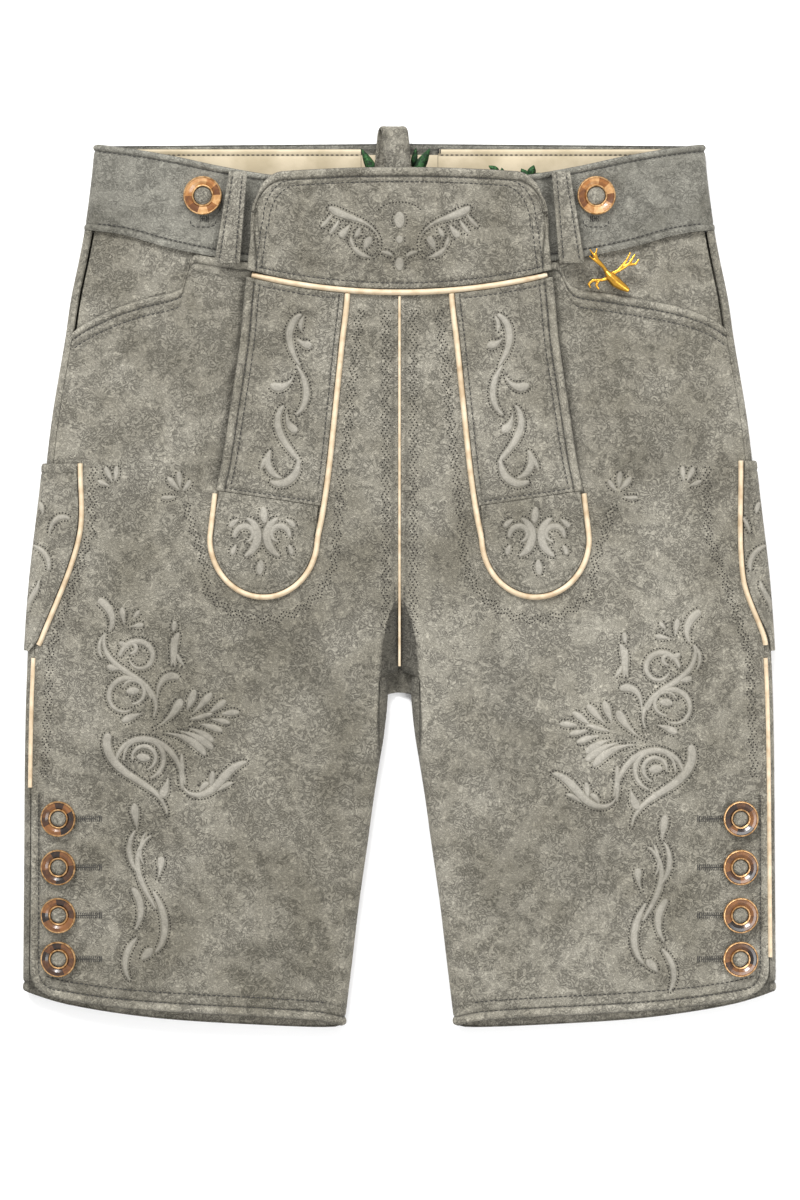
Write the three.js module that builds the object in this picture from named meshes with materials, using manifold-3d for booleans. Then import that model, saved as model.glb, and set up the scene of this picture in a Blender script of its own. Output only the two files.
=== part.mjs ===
// Short leather trousers with a front flap, laid flat on their back on a table.
// Every piece that a maker cuts is a closed wall of its own, worked out from the sections of the
// garment: a low tube from one side fold to the other at the waist, and one low tube for each leg.
import * as THREE from 'three';
import { mergeVertices } from 'three/addons/utils/BufferGeometryUtils.js';
import Module from 'manifold-3d';

// Driving dimensions, mm. X runs across the garment, towards the wearer's left, Y runs up it from
// the hems to the waist, and Z is the height above the table. The wearer's right is at -X.
const CLOTH = 1.8; // sueded leather of the legs, strips, tongues and patches
const BAND = 2.4; // waistband, leather over a stiffener
const FLAP = 2.2; // top panel of the flap, turned at its edges
const FACING = 1.2; // cream leather inside the waistband
const POCKET_FACING = 1.4; // leather behind the mouth of a hip pocket
const SEAM_GAP = 0.3; // between two pieces that meet at a seam
const SEAT = 0.6; // between a piece and the panel that it lies on
const CROTCH = -64.8; // Y of the lower end of the centre front seam
const FORK = -71; // Y below which each leg's front is on its own
const CROTCH_BACK = -60; // Y of the lower end of the centre back seam
const FORK_BACK = -84; // Y below which each leg's back is on its own
const SIDE_SEAM_TURN = 68; // degrees up the side fold, from its outermost line to the side seam
const SEAM_TURN_GAP = 1.5; // degrees from that seam to the edge of each panel
const RIGHT = -1;
const LEFT = 1;

// The garment's section, one row for each height: half width at the side fold, radius of that fold
// (and of the leg's inner fold), and height of the front at its crown.
const SECTIONS = [
  { y: -330, outer: 263.0, fold: 7.4, crown: 19.5 },
  { y: -282, outer: 262.5, fold: 7.5, crown: 20.5 },
  { y: -198, outer: 261.8, fold: 7.7, crown: 22.0 },
  { y: -114, outer: 261.1, fold: 8.0, crown: 23.0 },
  { y: -58, outer: 259.4, fold: 8.2, crown: 23.5 },
  { y: -2, outer: 255.5, fold: 8.4, crown: 24.5 },
  { y: 54, outer: 248.9, fold: 8.6, crown: 25.5 },
  { y: 110, outer: 242.4, fold: 8.8, crown: 26.5 },
  { y: 166, outer: 233.1, fold: 8.9, crown: 27.0 },
  { y: 194, outer: 229.0, fold: 9.0, crown: 27.5 },
  { y: 222, outer: 223.2, fold: 9.0, crown: 28.0 },
  { y: 242, outer: 219.5, fold: 9.0, crown: 28.5 },
  { y: 278, outer: 214.7, fold: 9.0, crown: 29.0 },
  { y: 299, outer: 212.8, fold: 9.0, crown: 29.0 },
  { y: 330, outer: 211.0, fold: 9.0, crown: 29.0 },
];

// Inner fold of a leg: its distance from the middle, and how far up the fold the inseam lies, in
// degrees. The inseam climbs onto the front of the fold at the crotch.
const INNER_FOLD = [
  { y: -330, inner: 40.4, seam: 0 },
  { y: -296, inner: 36.4, seam: 0 },
  { y: -268, inner: 33.0, seam: 0 },
  { y: -226, inner: 28.0, seam: 0 },
  { y: -184, inner: 22.0, seam: 0 },
  { y: -156, inner: 18.2, seam: 0 },
  { y: -128, inner: 13.8, seam: 15 },
  { y: -110, inner: 10.8, seam: 50 },
  { y: -84, inner: 8.2, seam: 74 },
  { y: -60, inner: 8.2, seam: 74 },
];

// Hems: the front ends higher than the back, and the two meet at the folds.
const HEMS = [
  { x: 20, front: -313.0, back: -313.4 },
  { x: 39, front: -312.4, back: -313.9 },
  { x: 46, front: -310.6, back: -314.4 },
  { x: 58, front: -308.2, back: -314.6 },
  { x: 98, front: -305.2, back: -313.0 },
  { x: 159, front: -301.8, back: -309.3 },
  { x: 199, front: -298.5, back: -304.6 },
  { x: 233, front: -293.8, back: -298.6 },
  { x: 250, front: -289.8, back: -293.8 },
  { x: 264, front: -287.6, back: -288.6 },
];

// Waistband, from the centre to the side fold: its front dips towards the flap.
const WAIST = [
  { x: 0, bottom: 215.0, top: 272.0 },
  { x: 84, bottom: 217.2, top: 278.0 },
  { x: 122, bottom: 221.8, top: 284.2 },
  { x: 157, bottom: 229.0, top: 291.8 },
  { x: 189, bottom: 237.9, top: 297.6 },
  { x: 220, bottom: 242.2, top: 301.8 },
];
const WAIST_BACK = { bottom: 242, side: 301.8, centre: 303.4 };

// Mouth of each hip pocket: down from the waistband at its corner, then out to the side seam.
const POCKET_MOUTH = {
  [RIGHT]: [
    { x: 141.0, y: 224.6 },
    { x: 145.6, y: 219.0 },
    { x: 147.6, y: 206.5 },
    { x: 152.5, y: 199.8 },
    { x: 177.0, y: 193.5 },
    { x: 198.0, y: 186.5 },
    { x: 219.5, y: 176.0 },
    { x: 230.0, y: 168.0 },
    { x: 240.0, y: 158.0 },
  ],
  [LEFT]: [
    { x: 109.0, y: 218.6 },
    { x: 112.0, y: 214.0 },
    { x: 116.5, y: 204.5 },
    { x: 124.0, y: 199.8 },
    { x: 142.5, y: 197.0 },
    { x: 180.0, y: 191.0 },
    { x: 201.0, y: 186.0 },
    { x: 217.0, y: 179.5 },
    { x: 228.0, y: 172.0 },
    { x: 240.0, y: 160.0 },
  ],
};

// Large soft folds in the fronts: middle, direction in degrees from +X, half length, half width, and
// rise of the middle, which is below nothing for a trough.
const FOLDS = [
  { x: -206, y: -136, turn: -34, long: 42, wide: 22, rise: -2.4 },
  { x: -156, y: -202, turn: -67, long: 52, wide: 22, rise: -2.0 },
  { x: -104, y: -186, turn: 82, long: 66, wide: 34, rise: 1.6 },
  { x: -60, y: -70, turn: -58, long: 42, wide: 20, rise: -2.2 },
  { x: -188, y: 62, turn: -100, long: 56, wide: 20, rise: -2.0 },
  { x: -84, y: -268, turn: -17, long: 40, wide: 20, rise: -1.8 },
  { x: 76, y: -82, turn: -68, long: 60, wide: 22, rise: -2.8 },
  { x: 72, y: -140, turn: 8, long: 38, wide: 18, rise: -1.6 },
  { x: 184, y: 82, turn: 14, long: 44, wide: 20, rise: -1.8 },
  { x: 188, y: -40, turn: -29, long: 42, wide: 22, rise: 1.8 },
  { x: 132, y: -206, turn: 86, long: 58, wide: 32, rise: -1.8 },
  { x: 74, y: -236, turn: -42, long: 36, wide: 20, rise: -1.6 },
];

// Flap: half width of its outer edge, from its square corner down to the tongues' seam, and the line
// of the piping down each strip.
const FLAP_EDGE = [
  { y: 46, outer: 129.0, strip: 53.0 },
  { y: 62, outer: 127.0, strip: 50.6 },
  { y: 80, outer: 123.2, strip: 48.3 },
  { y: 121, outer: 116.8, strip: 44.0 },
  { y: 163, outer: 110.6, strip: 39.7 },
  { y: 197, outer: 107.4, strip: 36.0 },
  { y: 253, outer: 100.5, strip: 36.0 },
];
const FLAP_TOP = { middle: 283.4, dip: 2.6, corner: 79, square: 253, outer: 100.5 };
const FLAP_SEAM = { middle: 197, rise: 11.6, outer: 100 };
const TONGUE = { x: 94.2, y: 27, halfWidth: 39.2, depth: 42.8, seamInner: 49, seamOuter: 60 };
const EDGE_LIFT = 2.2; // how far the open edge of the flap stands off the panel under it
const EDGE_LIFT_WIDTH = 22;

// Piping: widths across and height, mm.
const PIPING = {
  flap: { width: 4.2, height: 3.2 },
  strip: { width: 4.0, height: 2.6 },
  centre: { width: 1.9, height: 1.1 },
  patch: { width: 3.6, height: 2.4 },
  side: { width: 3.0, height: 1.8 },
};

// Side patches: the line of the front edge, from the top down to the side fold.
const PATCH_EDGE = {
  [RIGHT]: [
    { y: -51, x: 253.6 },
    { y: -44, x: 249.2 },
    { y: 27, x: 222.6 },
    { y: 79, x: 221.6 },
  ],
  [LEFT]: [
    { y: -51, x: 254.6 },
    { y: -40, x: 252.6 },
    { y: 0, x: 238.6 },
    { y: 81, x: 237.0 },
  ],
};
const PATCH_UNDER_TURN = -30; // degrees: how far below the side fold's outermost line a patch ends
const PATCH_SEAT = 1.1; // a patch stands off the fold that it is wrapped round
const SIDE_PIPING = {
  [RIGHT]: { top: -56, bottom: -146 },
  [LEFT]: { top: -56, bottom: -264 },
};

// Loops on the waistband, each a strip of leather lying along Y.
const BELT_LOOP = {
  topX: 111.4,
  topY: 280,
  bottomX: 119,
  bottomY: 217,
  topWidth: 12.6,
  bottomWidth: 17.6,
};
const LOOP_CLOTH = 1.5;
const LOOP_HUMP = 1.6;
const HANGING_LOOP = { width: 18.6, slant: -8.6, topY: 314.4, bend: 4.4, frontY: 272, backY: 281 };

// Ring buttons: outer radius, hole, thickness and the suede centre's height.
const WAIST_BUTTON = { x: 136, y: 264, radius: 13.4, hole: 6.4, height: 4.4, dome: 3.6 };
const LEG_BUTTON = { x: 236.4, radius: 12.4, hole: 5.6, height: 4.8, dome: 4.0 };
const LEG_BUTTON_ROWS = [-167.6, -201.3, -234.6, -265.0];
const RING_SIDES = 16;

// Charm: a stag's head with two antlers, cast in one piece, and its ring.
const CHARM = { x: 144.6, y: 209, lift: 4.2 };

const MATERIAL = {
  suede: { color: 0x96928a, roughness: 0.95 },
  suedeLight: { color: 0xa19d93, roughness: 0.95 },
  cream: { color: 0xdaccb0, roughness: 0.8 },
  piping: { color: 0xffeccb, roughness: 0.55 },
  amberHorn: { color: 0x9a6a3a, roughness: 0.35 },
  darkHorn: { color: 0x4a3020, roughness: 0.3 },
  gold: { color: 0xd8a23c, roughness: 0.3, metalness: 1 },
};

const garment = new THREE.Group();

function addPiece(name, geometry, look) {
  const { color, roughness, metalness = 0 } = MATERIAL[look];
  const mesh = new THREE.Mesh(geometry, new THREE.MeshStandardMaterial({ color, roughness, metalness }));
  mesh.name = name;
  garment.add(mesh);
  return mesh;
}

const { lerp, clamp, smoothstep, degToRad } = THREE.MathUtils;

// The value of one column at any place along another, on a smooth line through a table's rows.
function through(rows, at, column) {
  const slopeAt = (k) => {
    const before = rows[Math.max(k - 1, 0)];
    const after = rows[Math.min(k + 1, rows.length - 1)];
    return (after[column] - before[column]) / (after[at] - before[at]);
  };
  return (value) => {
    let k = 0;
    while (k < rows.length - 2 && value > rows[k + 1][at]) k += 1;
    const [a, b] = [rows[k], rows[k + 1]];
    const span = b[at] - a[at];
    const t = clamp((value - a[at]) / span, 0, 1);
    const rise = b[column] - a[column];
    const [startSlope, endSlope] = [slopeAt(k) * span, slopeAt(k + 1) * span];
    const bend = t * (1 - t) * ((1 - t) * (startSlope - rise) - t * (endSlope - rise));
    return a[column] + t * rise + bend;
  };
}

const outerAt = through(SECTIONS, 'y', 'outer');
const foldAt = through(SECTIONS, 'y', 'fold');
const crownAt = through(SECTIONS, 'y', 'crown');
const innerAt = through(INNER_FOLD, 'y', 'inner');
const inseamAt = through(INNER_FOLD, 'y', 'seam');
const frontHemAt = through(HEMS, 'x', 'front');
const backHemAt = through(HEMS, 'x', 'back');
const bandBottomAt = through(WAIST, 'x', 'bottom');
const bandTopAt = through(WAIST, 'x', 'top');
const flapOuterAt = through(FLAP_EDGE, 'y', 'outer');
const stripLineAt = through(FLAP_EDGE, 'y', 'strip');

// Rise of the front over its plain crown, from the large folds.
function foldRise(x, y) {
  let rise = 0;
  for (const fold of FOLDS) {
    const turn = degToRad(fold.turn);
    const along = (x - fold.x) * Math.cos(turn) + (y - fold.y) * Math.sin(turn);
    const across = (y - fold.y) * Math.cos(turn) - (x - fold.x) * Math.sin(turn);
    const reach = (along / fold.long) ** 2 + (across / fold.wide) ** 2;
    if (reach < 1) rise += fold.rise * (1 - reach) ** 2;
  }
  return rise;
}

// Height of the front's outer face at a place between its folds. The hips have one crown, and each
// leg has one of its own.
function frontHeight(x, y) {
  const fold = foldAt(y);
  const end = outerAt(y) - fold;
  const start = innerAt(y) + fold;
  const hips = smoothstep(y, -100, 60);
  const overLeg = clamp((2 * (Math.abs(x) - start)) / (end - start) - 1, -1, 1);
  const hipCrown = 1 - Math.min(Math.abs(x) / end, 1) ** 2.2;
  const legCrown = 1 - Math.abs(overLeg) ** 2.4;
  const crown = lerp(legCrown, hipCrown, hips);
  return 2 * fold + (crownAt(y) - 2 * fold) * crown + foldRise(x, y);
}

// The valley in which the centre seam lies, between the tops of the legs.
const VALLEY = { start: 10, narrow: 3, wide: 14, floor: 9, leastTurn: 30 };

// A point of the outer face, on one half of the garment. The stretch s runs 0 to 1 over the inner
// fold or valley of the front, 1 to 2 across the front, 2 to 3 round the side fold, 3 to 4 in across
// the back, and 4 to 5 to the centre back or round the leg's inner fold up to the inseam.
function outerPoint(side, s, y) {
  const fold = foldAt(y);
  const outer = outerAt(y);
  const leg = y <= FORK;
  const halfGap = SEAM_GAP / 2;
  const inseamTurn = inseamAt(y);
  const inseamGap = THREE.MathUtils.radToDeg(halfGap / fold);
  let x = 0;
  let z = 0;
  const valley = smoothstep(-y, -VALLEY.start, -CROTCH);
  const valleyWidth = lerp(VALLEY.narrow, VALLEY.wide, valley);
  const leastCos = Math.cos(degToRad(VALLEY.leastTurn));
  const frontStart = leg ? innerAt(y) + fold : halfGap + valleyWidth * leastCos;
  if (s < 1 && leg) {
    const turn = degToRad(lerp(inseamTurn + inseamGap, 90, s));
    x = innerAt(y) + fold * (1 - Math.cos(turn));
    z = fold * (1 + Math.sin(turn));
  } else if (s < 1) {
    const turn = degToRad(lerp(VALLEY.leastTurn, 90, s));
    const leastSin = Math.sin(degToRad(VALLEY.leastTurn));
    x = halfGap + valleyWidth * (leastCos - Math.cos(turn));
    const top = frontHeight(side * x, y);
    const depth = valley * (top - VALLEY.floor);
    z = top - depth * (1 - (Math.sin(turn) - leastSin) / (1 - leastSin));
  } else if (s < 2) {
    x = lerp(frontStart, outer - fold, s - 1);
    z = frontHeight(side * x, y);
  } else if (s <= 3) {
    const turn = degToRad(lerp(90, -90, s - 2));
    x = outer - fold * (1 - Math.cos(turn));
    z = fold * (1 + Math.sin(turn));
  } else {
    const legBack = y <= FORK_BACK;
    const edge = halfGap + clamp((CROTCH_BACK - y) / (CROTCH_BACK - FORK_BACK), 0, 1) * innerAt(FORK_BACK);
    const backStart = (legBack ? innerAt(y) : edge) + fold;
    x = s <= 4 ? lerp(outer - fold, backStart, s - 3) : lerp(backStart, edge, s - 4);
    if (s > 4 && legBack) {
      const turn = degToRad(lerp(-90, inseamTurn - inseamGap, s - 4));
      x = innerAt(y) + fold * (1 - Math.cos(turn));
      z = fold * (1 + Math.sin(turn));
    }
  }
  return new THREE.Vector3(side * x, y, z);
}

// A point of the outer face with the face's own direction, moved out by lift along it.
function skin(side, s, y, lift = 0) {
  const STEP = 0.004;
  const before = outerPoint(side, Math.max(s - STEP, 0), y);
  const after = outerPoint(side, Math.min(s + STEP, 5), y);
  const rowStep = y > FORK && y < CROTCH + 1 ? 0 : 1;
  const up = outerPoint(side, s, y + rowStep).sub(outerPoint(side, s, y - rowStep));
  if (rowStep === 0) up.set(0, 1, 0);
  const normal = after.sub(before).cross(up).normalize().multiplyScalar(side);
  const point = outerPoint(side, s, y).addScaledVector(normal, lift);
  return { point, normal };
}

// The stretch value of a place on the front half of the section, given its distance from the middle.
function stretchAt(side, x, y) {
  const fold = foldAt(y);
  const end = outerAt(y) - fold;
  if (x > end) {
    const turn = Math.acos(clamp((x - end) / fold, -1, 1));
    return 2 + (90 - THREE.MathUtils.radToDeg(turn)) / 180;
  }
  const start = Math.abs(outerPoint(side, 1, y).x);
  return 1 + clamp((x - start) / (end - start), 0, 1);
}
const turnToStretch = (turn) => 2 + (90 - turn) / 180;

// A point over the front at a signed place, standing off it by lift.
function overFront(x, y, lift) {
  const h = 1;
  const dx = (frontHeight(x + h, y) - frontHeight(x - h, y)) / (2 * h);
  const dy = (frontHeight(x, y + h) - frontHeight(x, y - h)) / (2 * h);
  const normal = new THREE.Vector3(-dx, -dy, 1).normalize();
  return { point: new THREE.Vector3(x, y, frontHeight(x, y) + lift), normal };
}

// One closed body from its corners and faces, turned so that the faces point out.
function solid(corners, faces) {
  let volume = 0;
  for (const [a, b, c] of faces) {
    volume += corners[a].dot(new THREE.Vector3().crossVectors(corners[b], corners[c]));
  }
  const index = faces.flatMap(([a, b, c]) => (volume < 0 ? [a, c, b] : [a, b, c]));
  const geometry = new THREE.BufferGeometry().setFromPoints(corners);
  geometry.setIndex(index);
  geometry.computeVertexNormals();
  return geometry;
}

// A wall of cloth: rows of points on its outer face, an inner face a thickness away, and its rim.
function wall(rows, thickness) {
  const down = rows.length;
  const across = rows[0].length;
  const outer = rows.flat().map((place) => place.point);
  const inner = rows.flat().map(({ point, normal }) => point.clone().addScaledVector(normal, -thickness));
  const faces = [];
  const quad = (a, b, c, d) => faces.push([a, b, c], [a, c, d]);
  const under = outer.length;
  for (let r = 0; r < down - 1; r += 1) {
    for (let c = 0; c < across - 1; c += 1) {
      const a = r * across + c;
      const [b, d, e] = [a + 1, a + across, a + across + 1];
      quad(a, b, e, d);
      quad(under + a, under + d, under + e, under + b);
    }
  }
  const rim = [];
  for (let c = 0; c < across - 1; c += 1) rim.push(c);
  for (let r = 0; r < down - 1; r += 1) rim.push(r * across + across - 1);
  for (let c = across - 1; c > 0; c -= 1) rim.push((down - 1) * across + c);
  for (let r = down - 1; r > 0; r -= 1) rim.push(r * across);
  rim.forEach((a, k) => {
    const b = rim[(k + 1) % rim.length];
    quad(b, a, under + a, under + b);
  });
  return solid([...outer, ...inner], faces);
}

// A low round bead of piping along places on the cloth, flat underneath.
function bead(places, { width, height }) {
  const outline = [[-0.5, 0], [-0.4, 0.62], [0, 1], [0.4, 0.62], [0.5, 0]];
  const corners = [];
  places.forEach(({ point, normal }, k) => {
    const before = places[Math.max(k - 1, 0)].point;
    const after = places[Math.min(k + 1, places.length - 1)].point;
    const across = after.clone().sub(before).cross(normal).normalize();
    for (const [u, v] of outline) {
      corners.push(point.clone().addScaledVector(across, u * width).addScaledVector(normal, v * height));
    }
  });
  const n = outline.length;
  const faces = [];
  for (let k = 0; k < places.length - 1; k += 1) {
    for (let c = 0; c < n; c += 1) {
      const [a, b] = [k * n + c, k * n + ((c + 1) % n)];
      faces.push([a, b, b + n], [a, b + n, a + n]);
    }
  }
  const last = (places.length - 1) * n;
  for (let c = 1; c < n - 1; c += 1) {
    faces.push([0, c + 1, c], [last, last + c, last + c + 1]);
  }
  return solid(corners, faces);
}

const steps = (from, to, count) => Array.from({ length: count + 1 }, (_, k) => lerp(from, to, k / count));
const sideName = (side) => (side === RIGHT ? 'right' : 'left');

// Legs. Both panels share these heights, so that their seams match corner to corner.
const HIP_ROWS = [100, 62, 30, 8, -20, -44, CROTCH, FORK, FORK_BACK];
const LEG_ROWS = [...HIP_ROWS, -110, -140, -170, -200, -230, -258, -282];
const TOP_ROWS = 3;
const FRONT_STRETCH = [1, 1.1, 1.2, 1.3, 1.4, 1.5, 1.6, 1.7, 1.8, 1.9, 2];
const INNER_STRETCH = [0, 0.35, 0.7];
const FOLD_STRETCH = [2.25, 2.42, 2.58, 2.75];
const CORNER_PLACES = {
  [RIGHT]: [142, 146, 148, 153],
  [LEFT]: [109, 112, 117, 124],
};
const BACK_STRETCH = [...FOLD_STRETCH, 3, 3.33, 3.66, 4, 4.3, 4.55, 4.8, 5];

// Lower and upper edge of the waistband at one stretch value.
function bandEdges(side, s) {
  const x = Math.abs(outerPoint(side, s, 270).x);
  const toBack = smoothstep(s, 2, 3);
  const backTop = lerp(WAIST_BACK.side, WAIST_BACK.centre, clamp(s - 3, 0, 1));
  return {
    bottom: lerp(bandBottomAt(x), WAIST_BACK.bottom, toBack),
    top: lerp(bandTopAt(x), backTop, toBack),
  };
}

// The top of a front at one stretch value: the waistband's lower edge, or the pocket mouth. The mouth
// is given by distance from the middle, which changes with height, so it is found in a few steps.
function frontTopAt(side, s) {
  const mouthAt = through(POCKET_MOUTH[side], 'x', 'y');
  const band = bandEdges(side, s).bottom - SEAM_GAP;
  let y = 200;
  for (let k = 0; k < 12; k += 1) {
    const x = Math.abs(outerPoint(side, s, y).x);
    const mouth = x < POCKET_MOUTH[side][0].x ? band : mouthAt(x);
    y = lerp(y, Math.min(mouth, band), 0.7);
  }
  return y;
}

function hemAt(side, s) {
  let y = -300;
  const toBack = smoothstep(s, 2.1, 2.9);
  for (let k = 0; k < 4; k += 1) {
    const x = Math.abs(outerPoint(side, s, y).x);
    y = lerp(frontHemAt(x), backHemAt(x), s > 3 ? smoothFromInseam(s) : toBack);
  }
  return y;
}

// Round the inner fold, the back's hem comes up to meet the front's at the inseam.
function smoothFromInseam(s) {
  return 1 - smoothstep(s, 4, 5);
}

function panelRows(side, stretches, topAt) {
  const rows = [];
  for (let k = 0; k < TOP_ROWS; k += 1) {
    rows.push(stretches.map((s) => skin(side, s, lerp(topAt(s), LEG_ROWS[0], k / TOP_ROWS))));
  }
  for (const y of LEG_ROWS) rows.push(stretches.map((s) => skin(side, s, y)));
  rows.push(stretches.map((s) => skin(side, s, hemAt(side, s))));
  return rows;
}

// Stretch values across a front, with extra ones where the pocket mouth turns its corner.
function frontStretches(side) {
  const corners = CORNER_PLACES[side].map((x) => stretchAt(side, x, 205));
  const clear = FRONT_STRETCH.filter((s) => corners.every((corner) => Math.abs(corner - s) > 0.025));
  return [...clear, ...corners].sort((a, b) => a - b);
}

function frontPanel(side) {
  const seam = turnToStretch(SIDE_SEAM_TURN + SEAM_TURN_GAP);
  const stretches = [...INNER_STRETCH, ...frontStretches(side), seam];
  return wall(panelRows(side, stretches, (s) => frontTopAt(side, s)), CLOTH);
}

function backPanel(side) {
  const seam = turnToStretch(SIDE_SEAM_TURN - SEAM_TURN_GAP);
  const topAt = (s) => bandEdges(side, s).bottom - SEAM_GAP;
  return wall(panelRows(side, [seam, ...BACK_STRETCH], topAt), CLOTH);
}

for (const side of [RIGHT, LEFT]) {
  addPiece(`front_${sideName(side)}`, frontPanel(side), 'suede');
  addPiece(`back_${sideName(side)}`, backPanel(side), 'suede');
}

// Crotch gusset: a saddle from the fronts, round the fork of the legs, to the backs.
const GUSSET = { frontHalf: 12.2, noseHalf: 7.2, backHalf: 6.6, nose: -83, frontZ: 8.6, sideRise: 5.6 };
// How much lower the gusset's edges end at the sides than at the middle.
const GUSSET_FALL = { front: 6.4, back: 20.6 };
const GUSSET_INSET = { front: 0.8, back: 1.2 }; // from the ends of the centre seams to those edges
const GUSSET_CLOTH = 1.4;

function gusset() {
  const place = (w, v) => {
    const bend = Math.sin(Math.PI * v);
    const fall = (1 - Math.cos(Math.PI * v)) / 2;
    const reach = Math.abs(w);
    const frontY = CROTCH - GUSSET_INSET.front - GUSSET_FALL.front * reach;
    const backY = CROTCH_BACK - GUSSET_INSET.back - GUSSET_FALL.back * reach;
    const inFront = v < 0.5;
    const edgeY = inFront ? frontY : backY;
    const half = lerp(inFront ? GUSSET.frontHalf : GUSSET.backHalf, GUSSET.noseHalf, bend);
    const z = lerp(GUSSET.frontZ + GUSSET.sideRise * reach, 0, fall);
    return new THREE.Vector3(w * half, lerp(edgeY, GUSSET.nose, bend), z);
  };
  const rows = steps(0, 1, 6).map((v) =>
    steps(-1, 1, 4).map((w) => {
      const STEP = 0.02;
      const along = place(w, Math.min(v + STEP, 1)).sub(place(w, Math.max(v - STEP, 0)));
      const across = new THREE.Vector3(1, 0, 0);
      return { point: place(w, v), normal: along.cross(across).normalize() };
    }),
  );
  return wall(rows, GUSSET_CLOTH);
}
addPiece('gusset', gusset(), 'suede');

// Waistband: one wall from the centre front, round the side fold, to the centre back.
const BAND_BACK_STRETCH = [3, 3.5, 4, 5];

function waistband(side) {
  const seam = turnToStretch(SIDE_SEAM_TURN);
  const stretches = [0, ...frontStretches(side), seam, ...FOLD_STRETCH, ...BAND_BACK_STRETCH];
  const rows = steps(0, 1, 2).map((t) =>
    stretches.map((s) => {
      const { bottom, top } = bandEdges(side, s);
      return skin(side, s, lerp(top, bottom, t));
    }),
  );
  return wall(rows, BAND);
}

// Facing inside the back of the waistband, in from the side fold to the cut at the centre back, and
// the narrow piece behind that cut.
const FACING_REACH = { side: 203, right: -27, left: 27, top: 299.2, bottom: 246, centreTop: 295.2 };
const FACING_Z = BAND + SEAM_GAP + FACING;

function facingRow(places, y) {
  return places.map((x) => {
    const normal = new THREE.Vector3(0, 0, 1);
    return { point: new THREE.Vector3(x, y, FACING_Z), normal };
  });
}

function facing(side) {
  const inner = side === RIGHT ? FACING_REACH.right : FACING_REACH.left;
  const places = steps(inner, side * FACING_REACH.side, 6);
  const heights = steps(FACING_REACH.top, FACING_REACH.bottom, 2);
  return wall(heights.map((y) => facingRow(places, y)), FACING);
}

function facingCentre() {
  const places = steps(FACING_REACH.right + SEAM_GAP, FACING_REACH.left - SEAM_GAP, 2);
  const heights = steps(FACING_REACH.centreTop, FACING_REACH.bottom, 1);
  return wall(heights.map((y) => facingRow(places, y)), FACING);
}

// Pocket facing: behind the mouth of the pocket, from under the front up to the waistband.
const BEHIND_FRONT = 3.0;
const POCKET_LAP = 16; // how far it reaches down behind the front, below the pocket's mouth
const POCKET_INNER = 12; // from the mouth's corner in to the facing's edge
const POCKET_OUTER = 208;
const POCKET_SIDE_TURN = 78; // degrees up the side fold to the facing's outer edge
const POCKET_TOP_GAP = 0.5;
// Heights at which the facing's places across are measured: its edge, its middle and its top.
const POCKET_MEASURE = { edge: 210, middle: 215, top: 235 };

function pocketFacing(side) {
  const corner = POCKET_MOUTH[side][1].x;
  const mouthAt = through(POCKET_MOUTH[side], 'x', 'y');
  const across = steps(corner - POCKET_INNER, POCKET_OUTER, 5);
  const places = across.map((x) => stretchAt(side, x, POCKET_MEASURE.edge));
  const stretches = [...places, 2, turnToStretch(POCKET_SIDE_TURN)];
  const rows = steps(0, 1, 3).map((t) =>
    stretches.map((s) => {
      const x = Math.abs(outerPoint(side, s, POCKET_MEASURE.middle).x);
      const topX = Math.abs(outerPoint(side, s, POCKET_MEASURE.top).x);
      const top = bandBottomAt(topX) - POCKET_TOP_GAP;
      const mouth = mouthAt(Math.max(x, corner + POCKET_INNER));
      return skin(side, s, lerp(top, mouth - POCKET_LAP, t), -BEHIND_FRONT);
    }),
  );
  return wall(rows, POCKET_FACING);
}

for (const side of [RIGHT, LEFT]) {
  addPiece(`waistband_${sideName(side)}`, waistband(side), 'suede');
  addPiece(`facing_${sideName(side)}`, facing(side), 'cream');
  addPiece(`pocket_facing_${sideName(side)}`, pocketFacing(side), 'suede');
}
addPiece('facing_centre', facingCentre(), 'cream');

// Flap. Its open outer edges stand a little off the panel below.
const flapSeamAt = (x) => FLAP_SEAM.middle + FLAP_SEAM.rise * (Math.abs(x) / FLAP_SEAM.outer) ** 2;

function flapLift(x, y) {
  const open = smoothstep(y, 30, 90);
  return SEAT + EDGE_LIFT * open * smoothstep(Math.abs(x), flapOuterAt(y) - EDGE_LIFT_WIDTH, flapOuterAt(y));
}

function flapTopAt(x) {
  const past = Math.max(Math.abs(x) - FLAP_TOP.corner, 0) / (FLAP_TOP.outer - FLAP_TOP.corner);
  const level = FLAP_TOP.middle - FLAP_TOP.dip * Math.min(Math.abs(x) / FLAP_TOP.corner, 1) ** 2;
  return lerp(FLAP_TOP.square, level, Math.sqrt(Math.max(1 - past ** 2, 0)));
}

function flapTop() {
  const shares = [-1, -0.985, -0.94, -0.87, -0.78, -0.5, -0.25, 0, 0.25, 0.5, 0.78, 0.87, 0.94, 0.985, 1];
  const rows = steps(0, 1, 5).map((t) =>
    shares.map((share) => {
      const top = flapTopAt(share * FLAP_TOP.outer);
      const seamX = share * flapOuterAt(205);
      const bottom = flapSeamAt(seamX) + PIPING.flap.width / 2 + SEAM_GAP;
      const y = lerp(top, bottom, t);
      const x = share * flapOuterAt(y);
      return overFront(x, y, flapLift(x, y) + FLAP);
    }),
  );
  return wall(rows, FLAP);
}
addPiece('flap_top', flapTop(), 'suede');

const tongueSeamAt = (x) => {
  const share = (x - 53) / (127 - 53);
  return lerp(TONGUE.seamInner, TONGUE.seamOuter, share);
};

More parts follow.
